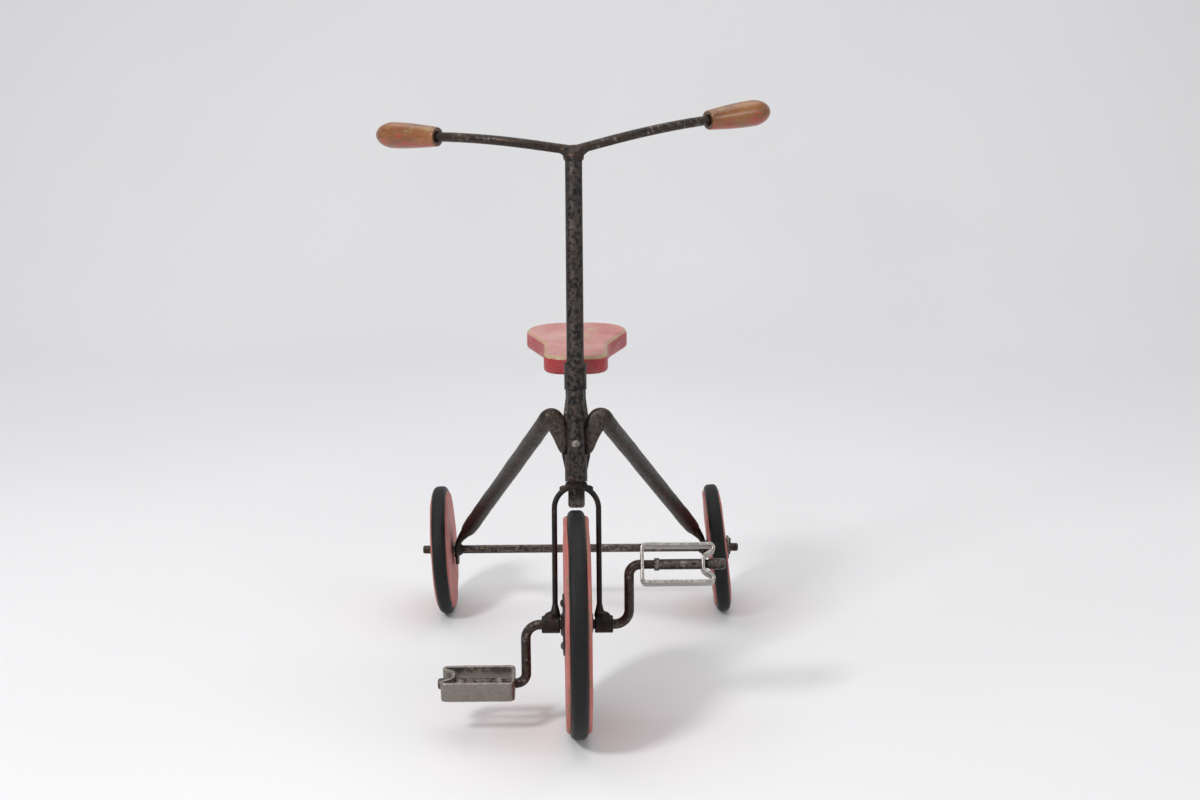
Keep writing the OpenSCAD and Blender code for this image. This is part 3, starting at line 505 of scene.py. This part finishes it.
# %% Wheel helpers
def turned(outline, centre, axis, steps, wobble=0.0, seed=0.0):
    """Turns (radius, along) points about an axis through centre; the outline is closed."""
    spin = axis.normalized()
    side = spin.cross(Vector((0, 1, 0))).normalized()
    front = spin.cross(side)
    rings = []
    for step in range(steps):
        angle = 2 * math.pi * step / steps
        out = side * math.cos(angle) + front * math.sin(angle)
        ring = []
        for radius, along in outline:
            sway = wobble * noise.noise(Vector((seed, radius * 30, 0)) + out * 2.2)
            ring.append(centre + out * radius + spin * (along + sway))
        rings.append(ring)
    return loft(rings, closed=True)


def round_corner(radius, along, r, start, end, steps=6):
    """Points of a quarter-round centred on (radius, along)."""
    angles = [math.radians(start + (end - start) * i / steps) for i in range(steps + 1)]
    return [(radius + r * math.cos(a), along + r * math.sin(a)) for a in angles]


print("wheel helpers ready")


# %% Wheels
TYRE_PROUD = 0.007
GROOVE = 0.006


def make_wheel(names, radius, wood_width, tyre_width, bore, centre, axis, body, seed):
    disc_name, tyre_name = names
    half, edge = wood_width / 2, 0.0042
    rim = radius - TYRE_PROUD
    disc_outline = (
        [(bore, -half), (rim * 0.5, -half), (rim - 0.016, -half)]
        + round_corner(rim - edge, -half + edge, edge, -90, 0)
        + [(rim, -tyre_width / 2 - 0.0001), (rim - GROOVE + 0.0002, -tyre_width / 2),
           (rim - GROOVE + 0.0002, tyre_width / 2), (rim, tyre_width / 2 + 0.0001)]
        + round_corner(rim - edge, half - edge, edge, 0, 90)
        + [(rim - 0.016, half), (rim * 0.5, half), (bore, half)]
    )
    points, faces = turned(disc_outline, centre, axis, 180, 0.0008, seed)
    disc = new_piece(disc_name + "_turned", points, faces, body, wheel_paint)

    def rim_wear(p):
        out = (p - centre) - axis * (p - centre).dot(axis)
        patch = noise.noise(p * 38 + Vector((seed, 0, 0))) * 0.35
        return max(0.0, min(1.0, 1 - (rim - out.length) / 0.0050)) * (0.62 + patch)

    set_values(disc, "wear", rim_wear)
    set_values(disc, "fade", lambda p: 0.62 + 0.3 * noise.noise(p * 14))
    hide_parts(disc_name)

    low, tread = rim - GROOVE + 0.0003, 0.0068
    half = tyre_width / 2
    tyre_outline = (
        [(low, -half)]
        + round_corner(radius - tread, -half + tread, tread, -90, 0, 8)
        + round_corner(radius - tread, half - tread, tread, 0, 90, 8)
        + [(low, half)]
    )
    points, faces = turned(tyre_outline, centre, axis, 180, 0.0006, seed + 4)
    tyre = new_piece(tyre_name + "_rubber", points, faces, body, rubber)

    def tread_band(p):
        out = (p - centre) - axis * (p - centre).dot(axis)
        return max(0.0, min(1.0, (out.length - radius + 0.0030) / 0.0026))

    set_values(tyre, "tread", tread_band)
    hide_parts(tyre_name)
    return disc, tyre


def wheel_size(tyre_name, centre, axis):
    """The tyre's radius, read from the farthest points of its CAD mesh."""
    far = 0.0
    for vertex in nodes[tyre_name].data.vertices:
        out = (vertex.co - centre) - axis * (vertex.co - centre).dot(axis)
        far = max(far, out.length)
    return far


FRONT_SKEW = math.radians(1.7)
front_axis = Vector((math.cos(FRONT_SKEW), math.sin(FRONT_SKEW), 0))
front_radius = wheel_size("front_tyre", axle, front_axis)
front_disc, front_tyre = make_wheel(
    ("front_disc", "front_tyre"), front_radius, 0.031, 0.021, 0.0065, axle,
    front_axis, "front_wheel", 1.0)
rear_pieces = []
for side in ("left", "right"):
    joint = joints["rear_" + side + "_spin"]
    centre, lean = Vector(joint["pos_m"]), Vector(joint["axis"]).normalized()
    rear_radius = wheel_size("rear_tyre_" + side, centre, lean)
    rear_pieces += make_wheel(
        ("rear_disc_" + side, "rear_tyre_" + side), rear_radius, 0.024, 0.0195, 0.0078,
        centre, lean, "rear_wheel_" + side, 5.0 if side == "left" else 9.0)
print("front radius", round(front_radius, 4), "rear radius", round(rear_radius, 4))


# %% [markdown]
# ## Bars bent from rod
# A rod is a ring of points carried along a line. `sweep` keeps the ring square to the
# line and lets the section change along the way, from round to hammered flat.

# %% Sweep
def sweep(path, section, reference=Vector((0, 0, 1)), count=32):
    """Rings along path. section(t) gives (width, height, squareness) at t from 0 to 1."""
    rings = []
    for i, point in enumerate(path):
        ahead = path[min(i + 1, len(path) - 1)] - path[max(i - 1, 0)]
        ahead.normalize()
        across = ahead.cross(reference).normalized()
        high = across.cross(ahead)
        width, height, power = section(i / (len(path) - 1))
        ring = []
        for j in range(count):
            angle = 2 * math.pi * j / count
            c, s = math.cos(angle), math.sin(angle)
            x = width * math.copysign(abs(c) ** power, c)
            y = height * math.copysign(abs(s) ** power, s)
            ring.append(point + across * x + high * y)
        rings.append(ring)
    return rings


print("sweep ready")

# %% [markdown]
# ## The legs
# Each leg is one length of pipe. Its lower end was hammered flat to take the axle, and
# its upper end was bent over and hammered flat against the backbone. One skin follows
# the leg from end to end, with stations that say where it is and how wide and how thick
# it is there, so the round pipe melts into the flat ends as hot iron does.

# %% Legs
def hammered_bar(name, stations, reference, body, finish, steps=10, dents=0.0):
    """A bar through stations of (place, half width, half thickness, squareness)."""
    rows = [(*place, wide, thick, power) for place, wide, thick, power in stations]
    first = [2 * a - b for a, b in zip(rows[0], rows[1])]
    last = [2 * a - b for a, b in zip(rows[-1], rows[-2])]
    rows = [first] + rows + [last]
    path, sizes = [], []
    for a, b, c, d in zip(rows, rows[1:], rows[2:], rows[3:]):
        for i in range(steps + (d is last)):
            t = i / steps
            v = [0.5 * (2 * q + (r - p) * t + (2 * p - 5 * q + 4 * r - s) * t * t
                        + (3 * q - p - 3 * r + s) * t ** 3) for p, q, r, s in zip(a, b, c, d)]
            path.append(Vector(v[:3]))
            sizes.append(v[3:])
    rings = sweep(path, lambda t: sizes[round(t * (len(sizes) - 1))], reference)
    for row, ring in enumerate(rings):
        for i, point in enumerate(ring):
            out = (point - path[row]).normalized()
            ring[i] = point + out * dents * noise.noise(point * 45)
    points, faces = loft(rings)
    return new_piece(name, points, faces, body, finish)


PIPE = 0.01065
PLATE = 0.00275
leg_low, leg_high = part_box("leg_right")
foot_x = leg_high[0] - PLATE
for side, sign in (("left", -1), ("right", 1)):
    def beside(x, y, z):
        return Vector((sign * x, rear_mid.y + y, rear_mid.z + z))

    shoulder = on_column(sign * 0.0350, 0.0140, 0.2515)
    foot_end = beside(foot_x - 0.0165, -0.009, 0.032)
    run = (shoulder - foot_end).normalized()
    stations = [
        (beside(foot_x, 0.0, -0.0215), PLATE * 0.9, 0.0050, 0.7),
        (beside(foot_x, 0.0, -0.0185), PLATE, 0.0095, 0.6),
        (beside(foot_x, 0.0, -0.0100), PLATE, 0.0130, 0.6),
        (beside(foot_x - 0.0005, 0.0, 0.0030), PLATE, 0.0138, 0.6),
        (beside(foot_x - 0.0050, -0.003, 0.0160), 0.0046, 0.0136, 0.75),
        (foot_end, 0.0085, 0.0120, 0.95),
        (foot_end + run * 0.022, PIPE, PIPE, 1.0),
        (foot_end + run * 0.15, PIPE, PIPE, 1.0),
        (shoulder - run * 0.05, PIPE, PIPE, 1.0),
        (shoulder - run * 0.020, PIPE, PIPE, 1.0),
        (shoulder + Vector((-sign * 0.0010, 0, 0.0015)), 0.0112, 0.0096, 1.0),
        (on_column(sign * 0.0278, 0.0118, 0.2525), 0.0120, 0.0078, 0.95),
        (on_column(sign * 0.0224, 0.0098, 0.2415), 0.0118, 0.0045, 0.85),
        (on_column(sign * 0.0186, 0.0095, 0.2285), 0.0090, 0.0030, 0.75),
        (on_column(sign * 0.0162, 0.0095, 0.2150), 0.0056, 0.0026, 0.70),
        (on_column(sign * 0.0155, 0.0095, 0.2100), 0.0032, 0.0022, 0.75),
    ]
    leg = hammered_bar("leg_" + side + "_hammered", stations, column_back, "frame",
                       leg_iron, dents=0.0006)

    # Lighter metal near the shoulders and hammered leaves: partly wear, partly painted light
    # where these flats lie in shade.
    def shoulder_wear_and_painted_light(p):
        return max(0.0, min(1.0, (0.046 - abs(p.x)) / 0.016)) * 0.75

    set_values(leg, "rubbed", shoulder_wear_and_painted_light)
    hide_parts("leg_" + side)
print("legs from", tuple(round(v, 3) for v in foot_end), "to the shoulder")

# %% [markdown]
# ## Forged and brazed pieces
# Where two pieces are welded, the metal flows together. Fusing copies of the solids into
# one skin of small squares and smoothing it gives that look: sharp inside corners turn
# into fillets, while the long round stretches hardly change.

# %% Fusing
def forged(name, sources, voxel, rounds, body, finish, lumps=()):
    work = bmesh.new()
    for source in sources:
        work.from_mesh(nodes[source].data)
    for place, radius, stretch in lumps:
        made = bmesh.ops.create_icosphere(work, subdivisions=3, radius=radius)
        bmesh.ops.scale(work, vec=stretch, verts=made["verts"])
        bmesh.ops.translate(work, vec=place, verts=made["verts"])
    mesh = bpy.data.meshes.new(name)
    work.to_mesh(mesh)
    work.free()
    piece = bpy.data.objects.new(name, mesh)
    bpy.context.scene.collection.objects.link(piece)
    skin = piece.modifiers.new("fused_skin", "REMESH")
    skin.mode = "VOXEL"
    skin.voxel_size = voxel
    flow = piece.modifiers.new("flowed_metal", "SMOOTH")
    flow.factor = 0.5
    flow.iterations = rounds
    fused = bpy.data.meshes.new_from_object(
        piece.evaluated_get(bpy.context.evaluated_depsgraph_get()))
    piece.modifiers.clear()
    piece.data = fused
    for face in fused.polygons:
        face.use_smooth = True
    fused.materials.clear()
    fused.materials.append(finish)
    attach(piece, body)
    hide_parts(*sources)
    print(name, len(fused.polygons), "faces")
    return piece


bar_top = on_column(0, 0, 0.582)
forged("forged_fork", ["fork", "fork_bearing_left", "fork_bearing_right"], 0.0009, 7,
       "steering", iron,
       [(axle + Vector((sign * 0.0320, 0.001, 0.0095)), 0.0085, (1.05, 0.9, 0.8))
        for sign in (-1, 1)]
       + [(on_column(sign * 0.0145, 0, 0.1665), 0.0048, (1.4, 0.7, 0.8)) for sign in (-1, 1)])
forged("brazed_handlebar", ["handlebar", "handlebar_weld"], 0.0010, 5, "steering",
       bar_iron,
       [(bar_top - column_up * 0.004, 0.0098, (1.0, 1.0, 0.9)),
        (bar_top + Vector((0.009, -0.002, 0.0005)), 0.0070, (1.3, 0.95, 0.95)),
        (bar_top + Vector((-0.009, -0.002, 0.0)), 0.0068, (1.3, 0.95, 0.95)),
        (bar_top + Vector((0.004, -0.007, -0.0065)), 0.0042, (1.2, 0.8, 1.0)),
        (bar_top + Vector((-0.006, -0.006, -0.0075)), 0.0036, (1.0, 0.8, 1.0))])

# %% [markdown]
# ## The saddle
# The saddle is a thick plank cut to a keyhole outline with rounded edges. Its outline is
# made of the same arcs as the CAD solid, and rings climb the side, roll over the edge and
# close over the top. Where the edge is worn through, a `wear` value lets the wood show.

# %% Saddle
def arc(centre, radius, start, end, steps):
    angles = [math.radians(start + (end - start) * i / steps) for i in range(steps + 1)]
    return [Vector((centre[0] + radius * math.cos(a), centre[1] + radius * math.sin(a)))
            for a in angles]


def resample(loop, count):
    """Evenly spaced points along a closed outline."""
    lengths = [(b - a).length for a, b in zip(loop, loop[1:] + loop[:1])]
    total, points, edge, walked = sum(lengths), [], 0, 0.0
    for i in range(count):
        target = total * i / count
        while walked + lengths[edge] < target:
            walked += lengths[edge]
            edge += 1
        part = (target - walked) / lengths[edge]
        points.append(loop[edge].lerp(loop[(edge + 1) % len(loop)], part))
    return points


def normals_of(loop):
    found = []
    for i, point in enumerate(loop):
        ahead = loop[(i + 1) % len(loop)] - loop[i - 1]
        found.append(Vector((ahead.y, -ahead.x)).normalized())
    return found


seat_low, seat_high = (Vector(v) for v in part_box("seat"))
length, width = seat_high.y - seat_low.y, seat_high.x - seat_low.x
nose, lobe, flare = 0.305 * width, width / 2, 21
waist_r, lobe_r = 0.54 * length, 0.34 * width
half = (
    [Vector((0.0, 0.0)), Vector((0.008, 0.0002))]
    + arc((nose - 0.026, 0.0275), 0.026, -72, 0, 10)
    + arc((nose + waist_r, 0.32 * length), waist_r, 180, 180 - flare, 8)
    + arc((lobe - lobe_r, length - 0.006 - lobe_r * 0.927), lobe_r, -flare, 68, 16)
    + [Vector((0.2 * width, length - 0.0015)), Vector((0.08 * width, length))]
)
outline = half + [Vector((-p.x, p.y)) for p in reversed(half[1:])]
outline = resample(outline, 220)
for _ in range(3):
    outline = [(outline[i - 1] + outline[i] * 2 + outline[(i + 1) % 220]) / 4
               for i in range(220)]
outward = normals_of(outline)
thick = seat_high.z - seat_low.z
roll_top, roll_low = 0.0068, 0.0035
profile = [(0.010, 0.0), (roll_low, 0.0)]
profile += [(roll_low - roll_low * math.sin(a), roll_low - roll_low * math.cos(a))
            for a in (0.5, 1.0, 1.57)]
profile += [(0.0, thick * 0.35), (0.0, thick * 0.52)]
profile += [(roll_top - roll_top * math.cos(a), thick - roll_top + roll_top * math.sin(a))
            for a in (0.0, 0.26, 0.52, 0.79, 1.05, 1.31, 1.57)]
profile += [(roll_top + 0.002, thick - 0.0001)]
rings = []
for inset, height in profile:
    rings.append([Vector((p.x - n.x * inset, seat_low.y + p.y - n.y * inset,
                          seat_low.z + height)) for p, n in zip(outline, outward)])
spine_low, spine_high = seat_low.y + 0.034, seat_high.y - 0.040
for share in (0.12, 0.28, 0.48, 0.70, 0.90, 0.985):
    ring = []
    for point in rings[len(profile) - 1]:
        middle = Vector((0, max(spine_low, min(spine_high, point.y)), point.z))
        moved = point.lerp(middle, share)
        moved.z += -0.0004 * math.sin(math.pi * share) + 0.00025 * noise.noise(moved * 30)
        ring.append(moved)
    rings.append(ring)
points, faces = loft(rings)
saddle = new_piece("saddle_plank", points, faces, "frame", seat_paint)


def saddle_wear(p):
    """Bare wood along the rolled edge, wider at the nose and in patches."""
    from_top = seat_high.z - p.z
    edge = max(0.0, 1 - abs(from_top - 0.0026) / 0.0042) if from_top > 0.0002 else 0.0
    near = min((p.xy - (q + Vector((0, seat_low.y)))).length for q in outline[::2])
    band = max(0.0, 1 - max(0.0, near - 0.004) / 0.006) if from_top < 0.0008 else 0.0
    patch = 0.30 * noise.noise(p * 42) + 0.18 * noise.noise(p * 110)
    return max(0.0, min(1.0, max(edge * 0.95, band * 0.62) + patch))


def saddle_fade(p):
    up = 1.0 if seat_high.z - p.z < 0.0040 else 0.0
    return up * (0.78 + 0.35 * noise.noise(p * 16)) + (1 - up) * 0.06


set_values(saddle, "wear", saddle_wear)
set_values(saddle, "fade", saddle_fade)
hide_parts("seat")
print("saddle", round(length, 3), "long,", round(width, 3), "wide")

# %% [markdown]
# ## The grips
# The grips were turned on a lathe and taper towards their mouths. Their axis comes from
# the CAD solid: its middle lies on the axis, and the bar's sweep gives the direction.

# %% Grips
GRIP_SWEEP, GRIP_RISE, BAR_TILT = (math.radians(v) for v in (33.0, 1.4, 3.0))
for side, sign in (("left", -1), ("right", 1)):
    level = Vector((sign * math.cos(GRIP_SWEEP) * math.cos(GRIP_RISE),
                    math.sin(GRIP_SWEEP) * math.cos(GRIP_RISE), math.sin(GRIP_RISE)))
    pointing = Matrix.Rotation(-BAR_TILT, 3, "Y") @ level
    middle = sum((v.co for v in nodes["grip_" + side].data.vertices), Vector())
    middle /= len(nodes["grip_" + side].data.vertices)
    reach = [(v.co - middle).dot(pointing) for v in nodes["grip_" + side].data.vertices]
    mouth_at = middle + pointing * min(reach)
    grip_length = max(reach) - min(reach)
    mouth_r, big_r = 0.01215, 0.0166
    swell = 0.72 * grip_length
    shape = [(0.0066, 0.006), (0.0068, 0.0009), (mouth_r - 0.0042, 0.0), (mouth_r - 0.0012, 0.0),
             (mouth_r - 0.0003, 0.0005), (mouth_r, 0.0014)]
    shape += [(mouth_r + (big_r - mouth_r) * math.sin(math.pi / 2 * i / 12), swell * i / 12)
              for i in range(1, 12)]
    shape += [(big_r * math.cos(math.pi / 2 * i / 12),
               swell + (grip_length - swell) * math.sin(math.pi / 2 * i / 12))
              for i in range(0, 12)]
    shape += [(0.0004, grip_length), (0.0004, 0.02)]
    points, faces = turned(shape, mouth_at, pointing, 64, 0.0)
    grip = new_piece("grip_" + side + "_turned", points, faces, "steering",
                     grip_wood)
    set_values(grip, "underside", lambda p: max(0.0, min(1.0, 0.5 - (
        p - mouth_at - pointing * (p - mouth_at).dot(pointing)).z / (2 * big_r)
        + 0.35 * noise.noise(p * 40))))
    set_values(grip, "mouth", lambda p: 1.0 if (p - mouth_at).dot(pointing) < 0.0004 else 0.0)
    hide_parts("grip_" + side)
print("grip length", round(grip_length, 3))

# %% [markdown]
# ## The pedals
# A pedal is one flat strip bent round into a loop, with a notch at its outer end that
# clears the spindle's knob. Shoes have rounded the strip's edges and rubbed them bright,
# so the section has soft corners and an `edge` value that is 1 along them.

# %% Pedals
STRIP_T, STRIP_W, PEDAL_LEN, PEDAL_DEPTH = 0.0042, 0.025, 0.0905, 0.050
NOTCH_DEPTH, LOBE_R, NOTCH_R, FLANK = 0.013, 0.0045, 0.0070, 60
PEDAL_IN = 0.0775


def strip_path():
    x0, x1 = PEDAL_IN + 0.002, PEDAL_IN + PEDAL_LEN - 0.002
    y1 = PEDAL_DEPTH / 2 - 0.002
    notch_x = PEDAL_IN + PEDAL_LEN - NOTCH_DEPTH - 0.002
    lobe_y = y1 - LOBE_R
    back = (x1 - LOBE_R - notch_x - NOTCH_R) * math.cos(math.radians(FLANK))
    floor_y = max(0.0, lobe_y - (LOBE_R + NOTCH_R + back) / math.sin(math.radians(FLANK)))
    near = (arc((x0 + 0.0045, 0.0045 - y1), 0.0045, 180, 270, 8)
            + arc((x1 - LOBE_R, -lobe_y), LOBE_R, -90, FLANK, 10)
            + arc((notch_x + NOTCH_R, -floor_y), NOTCH_R, 180 + FLANK, 180, 6))
    return near + [Vector((p.x, -p.y)) for p in reversed(near)]


def rounded_section(wide, high, radius, steps=4):
    """Corner-rounded rectangle as (across, up) pairs."""
    pairs = []
    for cx, cy, start in ((1, 1, 0), (-1, 1, 90), (-1, -1, 180), (1, -1, 270)):
        for i in range(steps + 1):
            a = math.radians(start + 90 * i / steps)
            pairs.append((cx * (wide / 2 - radius) + radius * math.cos(a),
                          cy * (high / 2 - radius) + radius * math.sin(a)))
    return pairs


PEDAL_TURN = {"left": 6.0, "right": 61.0}
loop_2d = resample(strip_path(), 150)
loop_out = normals_of(loop_2d)
section = rounded_section(STRIP_T, STRIP_W, 0.0013)
for side, sign in (("left", -1), ("right", 1)):
    hub = Vector(joints["pedal_" + side + "_spin"]["pos_m"])
    hub.x = axle.x
    turn = Matrix.Rotation(math.radians(PEDAL_TURN[side]), 3, "X")
    rings, flat = [], []
    for i, (point, out) in enumerate(zip(loop_2d, loop_out)):
        ring = []
        for across, up in section:
            bow = 0.0007 * noise.noise(Vector((point.x * 25, point.y * 25, sign * 3.0)))
            flat_point = point + out * (across + bow)
            local = Vector((sign * flat_point.x, flat_point.y, up + bow))
            ring.append(hub + turn @ local)
            flat.append(min(1.0, max(0.0, (abs(up) - STRIP_W / 2 + 0.0024) / 0.0016)))
        rings.append(ring)
    points, faces = loft(rings, closed=True)
    strip = new_piece("pedal_" + side + "_strip", points, faces, "pedal_" + side,
                      pedal_steel if side == "right" else rusty_pedal)
    data = strip.data.attributes.new("edge", "FLOAT", "POINT")
    for item, value in zip(data.data, flat):
        item.value = value
    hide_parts("pedal_strip_" + side)
print("pedal loops of", len(loop_2d), "sections")

# %% [markdown]
# ## CAD nodes that keep their shape
# Turned and plain pieces already have the right shape, so they only need a finish, and
# a small bevel where an edge would otherwise be knife-sharp.

# %% Dress the plain nodes
dress(["backbone", "collar_welds"], brown_iron)
dress(["head_collar_upper", "head_collar_lower", "column_tube", "seat_bracket",
       "foot_welds", "hub_plate"], iron)
dress(["crank", "rear_axle"], bar_iron)
dress(["axle_washers_inner", "axle_washers_outer", "bracket_rivets", "seat_screws",
       "hub_screws"], dark_steel)
dress(["axle_split_pins", "crank_split_pin", "column_rivet"], bright_steel)
for side in ("left", "right"):
    dress(["pedal_sleeve_" + side, "pedal_cap_" + side], dark_steel)
for name in ("head_collar_upper", "head_collar_lower", "backbone", "seat_bracket",
             "hub_plate", "pedal_cap_left", "pedal_cap_right"):
    soften(nodes[name])

# %% [markdown]
# ## Studio
# A pale sweep of paper: a floor that curls up into a wall a long way behind, so that no
# horizon line shows. Large soft lamps stand to the upper left, and weak fill comes from
# the right and from all around.

# %% Studio
def make_backdrop():
    profile = [(-3.2, 0.0), (1.9, 0.0)]
    bend = 1.3
    for i in range(1, 17):
        angle = math.pi / 2 * i / 16
        profile.append((1.9 + bend * math.sin(angle), bend - bend * math.cos(angle)))
    profile.append((1.9 + bend, 4.2))
    points = [Vector((x, y, z)) for x in (-5.0, 5.0) for y, z in profile]
    count = len(profile)
    faces = [(i, i + 1, count + i + 1, count + i) for i in range(count - 1)]
    mesh = bpy.data.meshes.new("paper_sweep")
    mesh.from_pydata([tuple(p) for p in points], [], faces)
    for face in mesh.polygons:
        face.use_smooth = True
    sheet = bpy.data.objects.new("paper_sweep", mesh)
    bpy.context.scene.collection.objects.link(sheet)
    f = Finish("white_paper")
    tone = f.noise(0.9, 2, 0.4)
    mesh.materials.append(f.shade(
        f.blend(tone.step(0.3, 0.7), (0.80, 0.80, 0.81), (0.83, 0.83, 0.84)), 0.75,
        specular=0.2))
    return sheet


def soft_lamp(name, place, target, size, watts):
    lamp = bpy.data.lights.new(name, "AREA")
    lamp.shape = "RECTANGLE"
    lamp.size, lamp.size_y = size
    lamp.energy = watts
    holder = bpy.data.objects.new(name, lamp)
    holder.location = place
    holder.rotation_euler = (Vector(target) - Vector(place)).to_track_quat("-Z", "Y").to_euler()
    bpy.context.scene.collection.objects.link(holder)


make_backdrop()
soft_lamp("key_window", (-1.55, -2.0, 2.45), (0.05, 0.0, 0.1), (0.55, 0.55), 50)
soft_lamp("top_bank", (0.0, 0.6, 3.2), (0.0, 0.1, 0.0), (3.4, 3.0), 40)
soft_lamp("right_fill", (2.4, -1.2, 1.7), (0.0, 0.0, 0.2), (0.8, 0.8), 7)
world = bpy.data.worlds.new("studio_air")
world.use_nodes = True
world.node_tree.nodes["Background"].inputs[0].default_value = (0.99, 0.99, 1.0, 1)
world.node_tree.nodes["Background"].inputs[1].default_value = 0.50
bpy.context.scene.world = world
bpy.context.scene.view_settings.view_transform = "Standard"
print("studio set")
